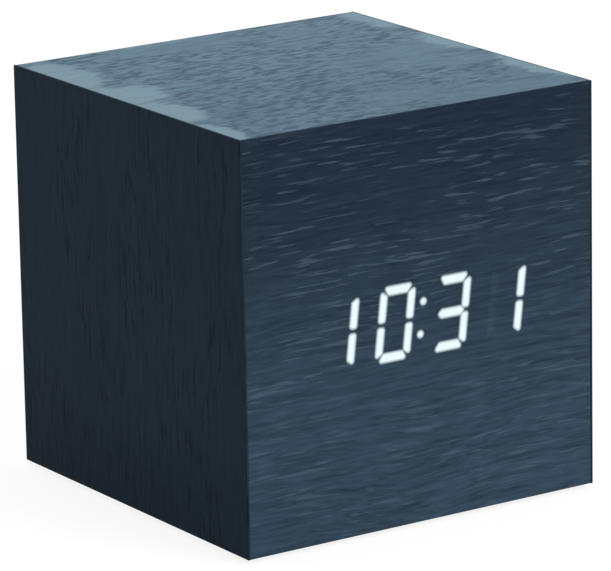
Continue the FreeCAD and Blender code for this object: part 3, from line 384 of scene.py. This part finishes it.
def boardMaterial(name, look):
    mat = newMaterial(name)
    fibre = noise(mat, stretched(mat, look["fibre"]), detail=4, distortion=0.6)
    tone = between(mat, fibre, look["fibreSpan"])
    colour = blend(mat, tone, shade(look["dark"]), shade(look["light"]))
    edge = calc(mat, "MAXIMUM", alongAxis(mat, look["under"]), alongAxis(mat, look["behind"]))
    soaked = calc(mat, "MULTIPLY", edge, between(mat, fibre, look["soakSpan"], look["soakShare"]))
    colour = blend(mat, soaked, colour, shade(look["stain"]))
    return surface(mat, colour, look["rough"], relief(mat, fibre, look["relief"]), look["specular"])


finishOf["mdf"] = boardMaterial("fibreboard", board)

# pine blocks: growth rings across, fine fibre along Z
pine = {
    "dark": (176, 128, 74), "light": (216, 182, 130), "fibre": (2600, 2600, 160),
    "rings": 420, "ringStretch": (1, 1, 0.06), "ringShare": 0.6,
    "warp": 3.0, "warpDetail": 2.0, "warpScale": 0.6,
    "rough": 0.7, "specular": 0.25, "relief": 0.05 * mm,
}


def pineMaterial(name, look):
    mat = newMaterial(name)
    inputs = {
        "Vector": stretched(mat, look["ringStretch"]), "Scale": look["rings"],
        "Distortion": look["warp"], "Detail": look["warpDetail"], "Detail Scale": look["warpScale"],
    }
    rings = addNode(mat, "TexWave", inputs, wave_type="RINGS", rings_direction="Z").outputs["Fac"]
    fibre = noise(mat, stretched(mat, look["fibre"]), detail=3)
    tone = weighed(mat, rings, fibre, look["ringShare"])
    colour = blend(mat, tone, shade(look["light"]), shade(look["dark"]))
    return surface(mat, colour, look["rough"], relief(mat, fibre, look["relief"]), look["specular"])


finishOf["pine"] = pineMaterial("pineBlock", pine)

# printed boards: green mask over copper tracks that run up, down and across
printedBoard = {
    "mask": (14, 62, 40), "ground": (20, 78, 50), "track": (34, 104, 66),
    "pitch": 340, "line": 0.07, "lineEdge": 0.1, "runLength": 3.0, "runSpacing": 0.5,
    "area": (150, 150, 150), "areaSpan": (0.46, 0.54),
    "pour": (90, 90, 90), "pourShift": (3, 1, 2), "pourSpan": (0.5, 0.52),
    "weave": (9000, 9000, 9000), "weaveShare": 0.15,
    "rough": 0.32, "roughSpread": 0.04, "relief": 0.03 * mm,
}


def printedBoardMaterial(name, look):
    mat = newMaterial(name)
    lines = []
    for turned in (0, math.pi / 2):
        lines.append(addNode(mat, "TexBrick", {
            "Vector": stretched(mat, (1, 1, 1), (math.pi / 2, 0, turned)),
            "Scale": look["pitch"], "Mortar Size": look["line"], "Mortar Smooth": look["lineEdge"],
            "Brick Width": look["runLength"], "Row Height": look["runSpacing"],
        }).outputs["Fac"])
    area = between(mat, noise(mat, stretched(mat, look["area"]), detail=1), look["areaSpan"])
    rest = calc(mat, "MULTIPLY", lines[1], calc(mat, "SUBTRACT", 1.0, area))
    track = calc(mat, "ADD", calc(mat, "MULTIPLY", lines[0], area), rest)
    pour = noise(mat, stretched(mat, look["pour"], shift=look["pourShift"]), detail=0)
    pour = between(mat, pour, look["pourSpan"])
    colour = blend(mat, pour, shade(look["mask"]), shade(look["ground"]))
    colour = blend(mat, track, colour, shade(look["track"]))
    glass = noise(mat, stretched(mat, look["weave"]), detail=1)
    height = calc(mat, "ADD", track, calc(mat, "MULTIPLY", glass, look["weaveShare"]))
    rough = unevenGloss(mat, glass, look["rough"], look["roughSpread"])
    return surface(mat, colour, rough, relief(mat, height, look["relief"]))


finishOf["circuit_board"] = printedBoardMaterial("printedBoard", printedBoard)

# ribbon cable: eight moulded cores side by side, the first one marked
ribbon = {
    "dark": (118, 120, 124), "light": (150, 152, 156), "mark": (150, 42, 38), "markEnd": 0.9,
    "cores": 8, "grain": (1800, 600, 600), "grainSpan": (0.2, 0.8), "grainShare": (0.8, 1.0),
    "rough": 0.5, "relief": 0.25 * mm,
}


def ribbonMaterial(name, look):
    mat = newMaterial(name)
    low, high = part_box("ribbon_cable")
    core = (high.x - low.x) / look["cores"]
    across = objectAxes(mat)[0]
    inCore = calc(mat, "DIVIDE", calc(mat, "SUBTRACT", across, low.x), core / math.pi)
    ridge = calc(mat, "ABSOLUTE", calc(mat, "SINE", inCore))
    grain = noise(mat, stretched(mat, look["grain"]))
    grain = between(mat, grain, look["grainSpan"], look["grainShare"])
    # painted shade and highlight: each core is darker in the grooves and lighter along its crest
    tone = calc(mat, "MULTIPLY", ridge, grain)
    colour = blend(mat, tone, shade(look["dark"]), shade(look["light"]))
    marked = between(mat, across, (low.x + look["markEnd"] * core, low.x + core), (1, 0))
    colour = blend(mat, marked, colour, shade(look["mark"]))
    return surface(mat, colour, look["rough"], relief(mat, ridge, look["relief"]))


finishOf["grey_cable"] = ribbonMaterial("ribbonCable", ribbon)
print("materials:", len(bpy.data.materials))

# every CAD node takes the finish of its own slot
slotOf = {part["node"]: part["material_slot"] for part in frame["record"]["subparts"]}
for name, obj in nodes.items():
    obj.data.materials.clear()
    obj.data.materials.append(finishOf[slotOf[name]])

# mesh building, with angles in degrees
meshing = {"weld": 0.001 * mm, "copyWeld": 0.002 * mm, "flatAngle": 1, "copySegments": 2}


def addPiece(name, bm, materials, body, stands=(), smoothAngle=35):
    bmesh.ops.remove_doubles(bm, verts=bm.verts, dist=meshing["weld"])
    bmesh.ops.recalc_face_normals(bm, faces=bm.faces)
    mesh = bpy.data.meshes.new(name)
    bm.to_mesh(mesh)
    bm.free()
    for mat in materials:
        mesh.materials.append(mat)
    mesh.shade_smooth()
    mesh.set_sharp_from_angle(angle=math.radians(smoothAngle))
    piece = bpy.data.objects.new(name, mesh)
    scene.collection.objects.link(piece)
    weighted = piece.modifiers.new("evenNormals", "WEIGHTED_NORMAL")
    weighted.keep_sharp = True
    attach(piece, body)
    if stands:
        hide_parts(*stands)


def slab(bm, low, high):
    made = bmesh.ops.create_cube(bm, size=1)["verts"]
    size = Vector(high) - Vector(low)
    bmesh.ops.scale(bm, vec=size, verts=made)
    bmesh.ops.translate(bm, vec=(Vector(low) + Vector(high)) / 2, verts=made)
    return made


def bevelEdges(bm, edges, width, segments):
    bmesh.ops.bevel(
        bm, geom=edges, offset=width, offset_type="OFFSET", affect="EDGES",
        segments=segments, profile=0.5, material=-1, clamp_overlap=True,
    )


# a CAD node's own form, merged and with its sharp edges eased
def easedCopy(node, width, angle):
    bm = bmesh.new()
    bm.from_mesh(nodes[node].data)
    bmesh.ops.remove_doubles(bm, verts=bm.verts, dist=meshing["copyWeld"])
    flat = math.radians(meshing["flatAngle"])
    bmesh.ops.dissolve_limit(bm, angle_limit=flat, verts=bm.verts, edges=bm.edges)
    sharp = []
    for edge in bm.edges:
        if len(edge.link_faces) == 2 and edge.calc_face_angle(0) > math.radians(angle):
            sharp.append(edge)
    bevelEdges(bm, sharp, width, meshing["copySegments"])
    bm.normal_update()
    return bm


# the six veneer sheets, with thin cut edges a little paler than the sides of the cube
sheets = {
    "faceInset": 0.03 * mm,   # leaves the lit strokes inside the box
    "edgeEase": 0.14 * mm,
    "sideEase": 0.16 * mm,
    "easeSegments": 3,
    "backEase": 0.06 * mm,
    "backAngle": 25,
    "outerCosine": 0.9,       # a side turned outward by more than this has its edges eased
    "faceCosine": 0.35,       # facets turned outward by more than this take the sheet's own veneer
    "topCosine": 0.7,         # facets turned upward by more than this take the top's veneer
    "topBand": 0.1 * mm,
}
edgeGrain = {
    **sideGrainAndShade, "dark": (27, 38, 47), "light": (40, 53, 62), "specular": 0.08, "fadeShare": 0.2,
}
edgeVeneer = veneerMaterial("stainedVeneerEdge", edgeGrain)


def veneerSheet(side, material, outward, ease, inset=0.0):
    low, high = (Vector(corner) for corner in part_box(side + "_veneer"))
    for axis in range(3):
        if outward[axis] > 0:
            high[axis] -= inset
        if outward[axis] < 0:
            low[axis] += inset
    bm = bmesh.new()
    slab(bm, low, high)
    outerEdges = []
    outward = Vector(outward)
    for edge in bm.edges:
        if any(face.normal.dot(outward) > sheets["outerCosine"] for face in edge.link_faces):
            outerEdges.append(edge)
    bm.normal_update()
    bevelEdges(bm, outerEdges, ease, sheets["easeSegments"])
    bm.normal_update()
    for face in bm.faces:
        face.material_index = 0 if face.normal.dot(outward) > sheets["faceCosine"] else 1
        if face.normal.z > sheets["topCosine"] and outward.x > 0:  # level with the top
            face.material_index = 2
    materials = [material, edgeVeneer, topVeneerAndSheen]
    addPiece(side + "_sheet", bm, materials, "clock_case", [side + "_veneer"])


def backSheet(values):
    bm = easedCopy("back_veneer", values["backEase"], values["backAngle"])
    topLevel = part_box("back_veneer")[1].z - values["topBand"]
    for face in bm.faces:
        onTop = face.normal.z > values["topCosine"] and face.calc_center_median().z > topLevel
        face.material_index = 1 if onTop else 0
    addPiece("back_sheet", bm, [frontVeneer, topVeneerAndSheen], "clock_case", ["back_veneer"])


def baseSheet(values):
    bm = easedCopy("base_veneer", values["backEase"], values["backAngle"])
    addPiece("base_sheet", bm, [frontVeneer], "clock_case", ["base_veneer"])


veneerSheet("front", frontVeneer, (0, -1, 0), sheets["edgeEase"], sheets["faceInset"])
veneerSheet("left", sideVeneerAndShade, (-1, 0, 0), sheets["sideEase"])
veneerSheet("right", sideVeneerAndShade, (1, 0, 0), sheets["sideEase"])
veneerSheet("top", topVeneerAndSheen, (0, 0, 1), sheets["edgeEase"])
backSheet(sheets)
baseSheet(sheets)
print("veneer sheets made")

# digits that glow through the veneer, with the slant in degrees
digits = {
    "height": 14.6 * mm, "width": 8.0 * mm, "pitch": 12.8 * mm, "shift": 0.3 * mm,
    "slant": 7.0, "level": 1.80 * mm, "upright": 1.65 * mm,
    "cornerCut": 0.62 * mm, "cornerGap": 0.12 * mm, "endRise": 0.36 * mm, "endSlope": 0.12 * mm,
    "middleInset": 0.85 * mm, "cornerRound": 0.58 * mm, "roundSegments": 4,
    "drawIn": 0.46 * mm,      # the light is full inside this, half at the outline and gone past the spread
    "spread": 0.46 * mm,
    "skin": 0.026 * mm, "rimShare": 0.2,
    "grainShare": 0.1, "lightSpan": (0.1, 0.98), "shadeSpan": (0.35, 0.65), "shadeShare": 0.05,
    "middle": 41 * mm,
    "colonShift": -0.35 * mm, "colonRise": 3.15 * mm, "colonDiameter": 1.4 * mm, "colonSides": 32,
    "litColour": (236, 250, 253), "unlitColour": (22, 25, 27),
}
lit = (
    ("upperRight", "lowerRight"),
    ("top", "upperRight", "lowerRight", "bottom", "lowerLeft", "upperLeft"),
    ("top", "upperRight", "lowerRight", "bottom", "middle"),
    ("upperRight", "lowerRight"),
)
unlit = ((), (), (), ("upperLeft", "lowerLeft"))  # those that still show faintly


def strokeOutlines(values):
    side, high = values["width"] / 2, values["height"] / 2
    level, upright = values["level"], values["upright"]
    inner, low = side - upright - values["cornerGap"], high - level
    topStroke = [(-side + values["cornerCut"], high), (side - values["cornerCut"], high)]
    topStroke += [(inner, low), (-inner, low)]
    rise = values["endRise"]
    uprightStroke = [
        (side, high - values["cornerCut"]), (side - upright, low),
        (side - upright, rise + values["endSlope"]), (side, rise),
    ]
    end = side - values["middleInset"]
    rightEnd = [(end - level / 2, -level / 2), (end, 0), (end - level / 2, level / 2)]

    def flip(corners, x, y):
        return [(x * across, y * up) for across, up in corners]

    return {
        "top": topStroke, "bottom": flip(topStroke, 1, -1), "upperRight": uprightStroke,
        "lowerRight": flip(uprightStroke, 1, -1), "upperLeft": flip(uprightStroke, -1, 1),
        "lowerLeft": flip(uprightStroke, -1, -1), "middle": rightEnd + flip(rightEnd, -1, -1),
    }


def leaning(up, values):
    return values["shift"] + up * math.tan(math.radians(values["slant"]))


def offsetFace(bm, face, width):  # in from the outline, or out from it where the width is negative
    return bmesh.ops.inset_region(
        bm, faces=[face], thickness=width, use_boundary=True, use_even_offset=True,
    )["faces"]


def addGlow(bm, face, values):  # full light in the middle, half at the outline, none past it
    full = bm.verts.layers.float["light"]
    face.normal_update()
    if face.normal.y > 0:
        face.normal_flip()
    bmesh.ops.delete(bm, geom=offsetFace(bm, face, -values["spread"]), context="FACES")
    for width, light in ((values["spread"], 0.5), (values["drawIn"], 1.0)):
        offsetFace(bm, face, width)
        for vert in face.verts:
            vert[full] = light


# The skin is highest where the light is full, so of two rims that cross the brighter one shows.
def giveSkin(bm, back, values):
    full = bm.verts.layers.float["light"]
    thick = bmesh.ops.extrude_face_region(bm, geom=list(bm.faces))["geom"]
    backs = {item for item in thick if isinstance(item, bmesh.types.BMVert)}
    for vert in bm.verts:
        share = 1 if vert in backs else (1 - vert[full]) * (1 - values["rimShare"])
        vert.co.y = back + values["skin"] * share


def addStroke(bm, corners, centre, values, back):
    verts = []
    for across, up in corners:
        x = centre + across + leaning(up, values)
        verts.append(bm.verts.new((x, back, values["middle"] + up)))
    face = bm.faces.new(verts)
    for vert, angle in [(loop.vert, loop.calc_angle()) for loop in face.loops]:
        made = bmesh.ops.bevel(
            bm, geom=[vert], offset=values["cornerRound"] / math.tan(angle / 2),
            offset_type="OFFSET", affect="VERTICES", segments=values["roundSegments"],
            profile=0.5, material=-1, clamp_overlap=True,
        )
    addGlow(bm, max(made["verts"][0].link_faces, key=lambda side: side.calc_area()), values)


def addDot(bm, up, values, back):
    x = values["colonShift"] + leaning(up, values)
    radius = values["colonDiameter"] / 2
    disc = bmesh.ops.create_circle(bm, cap_ends=True, radius=radius, segments=values["colonSides"])
    disc = disc["verts"]
    bmesh.ops.rotate(bm, matrix=Matrix.Rotation(math.pi / 2, 3, "X"), verts=disc)
    bmesh.ops.translate(bm, vec=(x, back, values["middle"] + up), verts=disc)
    addGlow(bm, disc[0].link_faces[0], values)


# The veneer over a stroke: its own grain, and the light that comes through it.
def glowMaterial(name, colour, look, values):
    mat = newMaterial(name)
    base, rough, normal = veneerPattern(mat, look)
    grain = noise(mat, stretched(mat, veneer["fibreSize"], look["turn"], look["shift"]), detail=3)
    light = addNode(mat, "Attribute", attribute_name="light").outputs["Fac"]
    light = calc(mat, "ADD", light, around(mat, grain, values["grainShare"]))
    black = (0, 0, 0, 1)
    glow = blend(mat, between(mat, light, values["lightSpan"]), black, shade(colour))
    shaded = between(mat, grain, values["shadeSpan"])
    glow = blend(mat, calc(mat, "MULTIPLY", shaded, values["shadeShare"]), glow, black)
    return surface(mat, base, rough, normal, look["specular"], glow=glow)


def makeDigits(name, strokes, colons, glow, values):
    outlines = strokeOutlines(values)
    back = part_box("front_veneer")[0].y + sheets["faceInset"] - values["skin"]
    bm = bmesh.new()
    bm.verts.layers.float.new("light")
    for number, names in enumerate(strokes):
        centre = values["pitch"] * (number - (len(strokes) - 1) / 2)
        for stroke in names:
            addStroke(bm, outlines[stroke], centre, values, back)
    for up in colons:
        addDot(bm, up, values, back)
    giveSkin(bm, back, values)
    addPiece(name, bm, [glow], "clock_case")


litStroke = glowMaterial("litStroke", digits["litColour"], frontGrain, digits)
unlitStroke = glowMaterial("unlitStroke", digits["unlitColour"], frontGrain, digits)
colons = (-digits["colonRise"], digits["colonRise"])
makeDigits("lit_digits", lit, colons, litStroke, digits)
makeDigits("unlit_strokes", unlit, (), unlitStroke, digits)
print("digits made")


# turned pieces: corners given as (radius, distance along the axis)
def arc(radius, along, size, start, end, steps=4):
    corners = []
    for step in range(steps + 1):
        angle = math.radians(start + (end - start) * step / steps)
        corners.append((radius + size * math.cos(angle), along + size * math.sin(angle)))
    return corners


def spinProfile(bm, profile, spot, axis, steps=48):
    spot, axis = Vector(spot), Vector(axis)
    side = axis.orthogonal().normalized()
    line = [bm.verts.new(spot + side * radius + axis * along) for radius, along in profile]
    edges = [bm.edges.new(pair) for pair in zip(line, line[1:])]
    bmesh.ops.spin(
        bm, geom=line + edges, cent=spot, axis=axis, dvec=(0, 0, 0), angle=2 * math.pi,
        steps=steps, use_merge=True,
    )
    bmesh.ops.remove_doubles(bm, verts=bm.verts, dist=meshing["weld"])


# rubber feet with a rounded rim and a shallow dish
feet = {
    "radius": 4.0 * mm, "rim": 0.4 * mm, "dish": 0.15 * mm, "dishRadius": 2.6 * mm,
    "soft": 0.1 * mm, "smoothAngle": 50,
}


def makeFeet(values):
    low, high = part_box("rubber_feet")
    tall, reach = high.z - low.z, high.x - values["radius"]
    radius, rim, soft = values["radius"], values["rim"], values["soft"]
    profile = [(0, tall)] + arc(radius - soft, tall - soft, soft, 90, 0)
    profile += arc(radius - rim, rim, rim, 0, -90)
    profile += [(values["dishRadius"] + values["dish"], 0), (values["dishRadius"], values["dish"])]
    profile.append((0, values["dish"]))
    bm = bmesh.new()
    for x in (-reach, reach):
        for y in (-reach, reach):
            spinProfile(bm, profile, (x, y, low.z), (0, 0, 1))
    addPiece("foot_pads", bm, [finishOf["rubber"]], "clock_case", ["rubber_feet"],
             values["smoothAngle"])


makeFeet(feet)

# buttons: caps with a dished face, a collar behind the plate and a stem
buttons = {
    "radius": 2.5 * mm, "rim": 0.4 * mm, "dish": 0.3 * mm, "dishRadius": 1.9 * mm, "dishSteps": 6,
    "collar": 3.1 * mm, "collarBack": 2.4 * mm, "collarThick": 1.0 * mm, "stem": 1.65 * mm,
    "soft": 0.12 * mm, "smoothAngle": 50,
}
keyCap = mouldedMaterial("keyCap", {
    "dark": (38, 40, 43), "light": (46, 48, 51), "rough": 0.3, "specular": 0.5,
    "relief": 0.004 * mm,
})


def makeButton(name, values):
    low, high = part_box(name + "_button")
    centre = (low + high) / 2
    spot = (centre.x, high.y, centre.z)
    radius, rim, soft = values["radius"], values["rim"], values["soft"]
    profile = []
    for step in range(values["dishSteps"] + 1):
        share = step / values["dishSteps"]
        profile.append((values["dishRadius"] * share, -values["dish"] * (1 - share ** 2)))
    profile += arc(radius - rim, -rim, rim, 90, 0)
    collarFront = -values["collarBack"]
    collarEnd = collarFront - values["collarThick"]
    profile += [(radius, collarFront)] + arc(values["collar"] - soft, collarFront - soft, soft, 90, 0)
    profile += [(values["collar"], collarEnd), (values["stem"], collarEnd)]
    profile += [(values["stem"], low.y - high.y), (0, low.y - high.y)]
    bm = bmesh.new()
    spinProfile(bm, profile, spot, (0, 1, 0))
    addPiece(name + "_cap", bm, [keyCap], name + "_key", [name + "_button"],
             values["smoothAngle"])


for name in ("set", "up", "down"):
    makeButton(name, buttons)

# moulded parts keep their solids' form, with edges eased by a width where they are sharp
mouldings = {
    "angle": 30,
    "parts": (
        ("control_plate", "clock_case", 0.16 * mm), ("battery_tray", "clock_case", 0.12 * mm),
        ("battery_door", "battery_lid", 0.14 * mm),
    ),
}
for node, body, width in mouldings["parts"]:
    bm = easedCopy(node, width, mouldings["angle"])
    addPiece(node + "_moulding", bm, [finishOf["black_plastic"]], body, [node])

# power inlet: a pressed metal mouth, a dark tongue and five plated contacts on it
inlet = {
    "ease": 0.07 * mm, "easeAngle": 30,
    "tongueWidth": 3.9 * mm, "tongueThick": 0.7 * mm, "tongueRise": 0.48 * mm,
    "setBack": 1.0 * mm, "contacts": 5, "contactPitch": 0.65 * mm, "contactWidth": 0.36 * mm,
    "contactLength": 2.6 * mm, "contactThick": 0.06 * mm, "play": 0.03 * mm,
}
goldPlating = mouldedMaterial("goldPlating", {
    "dark": (196, 152, 74), "light": (222, 182, 104), "rough": 0.25, "metal": 1.0,
})


def makeInlet(values):
    low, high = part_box("usb_socket")
    centre = (low + high) / 2
    bm = easedCopy("usb_socket", values["ease"], values["easeAngle"])
    play = values["play"]
    tongueHigh = centre.z + values["tongueRise"] + values["tongueThick"] / 2 + play
    tongueLow = tongueHigh - values["tongueThick"] - 2 * play
    for face in bm.faces:
        place = face.calc_center_median()
        onTongue = abs(place.x - centre.x) < values["tongueWidth"] / 2 + play
        if onTongue and tongueLow < place.z < tongueHigh and place.y < high.y - values["setBack"] / 2:
            face.material_index = 1
    front = high.y - values["setBack"] - play
    half = values["contactWidth"] / 2
    for number in range(values["contacts"]):
        x = centre.x + (number - (values["contacts"] - 1) / 2) * values["contactPitch"]
        strip = slab(
            bm, (x - half, front - values["contactLength"], tongueLow - values["contactThick"] + play),
            (x + half, front, tongueLow + 2 * play),
        )
        for face in {face for vert in strip for face in vert.link_faces}:
            face.material_index = 2
    materials = [finishOf["nickel"], finishOf["black_plastic"], goldPlating]
    addPiece("power_inlet", bm, materials, "clock_case", ["usb_socket"])


makeInlet(inlet)

# four dry cells in plain sleeves, each turned the other way from its neighbours
cells = {
    "count": 4, "pitch": 11.1 * mm, "radius": 5.25 * mm, "nub": 1.9 * mm, "nubTall": 1.0 * mm,
    "sleeveRoll": 0.35 * mm, "end": 4.3 * mm, "endDrop": 0.25 * mm, "length": 44.5 * mm,
    "bandFrom": 33.0 * mm, "lineWide": 0.8 * mm, "sides": 40, "smoothAngle": 40,
}
sleeveLine = mouldedMaterial("sleeveLine", {
    "dark": (146, 150, 152), "light": (158, 162, 164), "rough": 0.35,
})


def makeCells(values):
    low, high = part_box("aaa_cells")
    radius, roll, end = values["radius"], values["sleeveRoll"], values["end"]
    drop, nub = values["endDrop"], values["nub"]
    bodyEnd = values["length"] - values["nubTall"]
    bandEnd = values["bandFrom"] + values["lineWide"]
    z = (low.z + high.z) / 2
    profile = [(0, drop), (end, drop), (end, 0)] + arc(radius - roll, roll, roll, -90, 0)
    profile += [(radius, values["bandFrom"]), (radius, bandEnd)]
    profile += [(radius, bodyEnd - roll)] + arc(radius - roll, bodyEnd - roll, roll, 0, 90)
    profile += [(end, bodyEnd), (end, bodyEnd - drop), (nub + drop, bodyEnd - drop)]
    profile += [(nub, bodyEnd)] + arc(nub - drop, values["length"] - drop, drop, 0, 90)
    profile.append((0, values["length"]))
    bm = bmesh.new()
    for number in range(values["count"]):
        x = (number - (values["count"] - 1) / 2) * values["pitch"]
        ends = [vert.co.y for vert in nodes["aaa_cells"].data.vertices if abs(vert.co.x - x) < nub]
        facing = 1 if max(ends) > high.y - values["nubTall"] / 2 else -1
        start = high.y - values["length"] if facing > 0 else low.y + values["length"]
        spinProfile(bm, profile, (x, start, z), (0, facing, 0), values["sides"])
        for face in bm.faces:
            place = face.calc_center_median()
            if abs(place.x - x) > values["pitch"] / 2:
                continue
            if math.hypot(place.x - x, place.z - z) < end + drop / 2:
                face.material_index = 1
            elif values["bandFrom"] < (place.y - start) * facing < bandEnd:
                face.material_index = 2
    materials = [finishOf["cell_jacket"], finishOf["nickel"], sleeveLine]
    addPiece("dry_cells", bm, materials, "clock_case", ["aaa_cells"],
             values["smoothAngle"])


makeCells(cells)
print("back and underside made")

# floor, world and lamps, which have a name, a place, a width and watts
stage = {
    "floorSize": 8.0, "paint": ((0.84, 0.84, 0.85, 1), (0.87, 0.87, 0.87, 1)), "cloud": (4, 4, 4),
    "floorGlow": 0.86, "seenPaint": (0.2, 0.2, 0.2, 1), "worldDiffuse": 0.42,
    "lampAim": (0, 0, 40 * mm),
    "lamps": (
        ("keyLamp", (0.55, -1.25, 1.05), 0.9, 15.0),
        ("fillLamp", (-1.1, -0.9, 0.9), 1.0, 1.5),
        ("topLamp", (0.1, 0.35, 1.35), 1.2, 6.0),
        ("underLamp", (0.0, 0.1, -1.1), 1.0, 9.0),  # the floor lets its light through
    ),
}


def seenDirectly(mat):
    path = addNode(mat, "LightPath").outputs
    seen = calc(mat, "ADD", path["Is Camera Ray"], path["Is Glossy Ray"])
    return calc(mat, "ADD", seen, path["Is Transmission Ray"], clamp=True)


def floorMaterial(name, values):
    mat = newMaterial(name)
    cloud = noise(mat, stretched(mat, values["cloud"]))
    paint = blend(mat, cloud, *values["paint"])
    matte = addNode(mat, "BsdfDiffuse", {"Color": paint}).outputs[0]
    thin = addNode(mat, "BsdfDiffuse", {"Color": values["seenPaint"]}).outputs[0]
    glow = addNode(mat, "Emission", {"Strength": values["floorGlow"]}).outputs[0]
    bright = addNode(mat, "AddShader", {0: thin, 1: glow}).outputs[0]
    above = addNode(mat, "MixShader", {0: seenDirectly(mat), 1: matte, 2: bright}).outputs[0]
    under = addNode(mat, "NewGeometry").outputs["Backfacing"]
    under = calc(mat, "MAXIMUM", under, addNode(mat, "LightPath").outputs["Is Shadow Ray"])
    clear = addNode(mat, "BsdfTransparent").outputs[0]
    shader = addNode(mat, "MixShader", {0: under, 1: above, 2: clear}).outputs[0]
    addNode(mat, "OutputMaterial", {"Surface": shader})
    return mat


def makeFloor(values):
    bm = bmesh.new()
    bmesh.ops.create_grid(bm, x_segments=4, y_segments=4, size=values["floorSize"] / 2)
    mesh = bpy.data.meshes.new("floor")
    bm.to_mesh(mesh)
    bm.free()
    mesh.materials.append(floorMaterial("paleFloor", values))
    floor = bpy.data.objects.new("floor", mesh)
    scene.collection.objects.link(floor)


def makeWorld(values):
    world = bpy.data.worlds.new("paleRoom")
    scene.world = world
    world.use_nodes = True
    world.node_tree.nodes.clear()
    strength = calc(world, "MAXIMUM", seenDirectly(world), values["worldDiffuse"])
    sky = addNode(world, "Background", {"Color": (1, 1, 1, 1), "Strength": strength}).outputs[0]
    addNode(world, "OutputWorld", {"Surface": sky})


def makeLamps(values):
    for name, spot, size, power in values["lamps"]:
        data = bpy.data.lights.new(name, "AREA")
        data.shape = "DISK"
        data.size = size
        data.energy = power
        lamp = bpy.data.objects.new(name, data)
        aim = Vector(values["lampAim"]) - Vector(spot)
        lamp.location = spot
        lamp.rotation_euler = aim.to_track_quat("-Z", "Y").to_euler()
        lamp.visible_glossy = False
        scene.collection.objects.link(lamp)


makeFloor(stage)
makeWorld(stage)
makeLamps(stage)
scene.view_settings.view_transform = "Standard"
print("stage and lamps made")
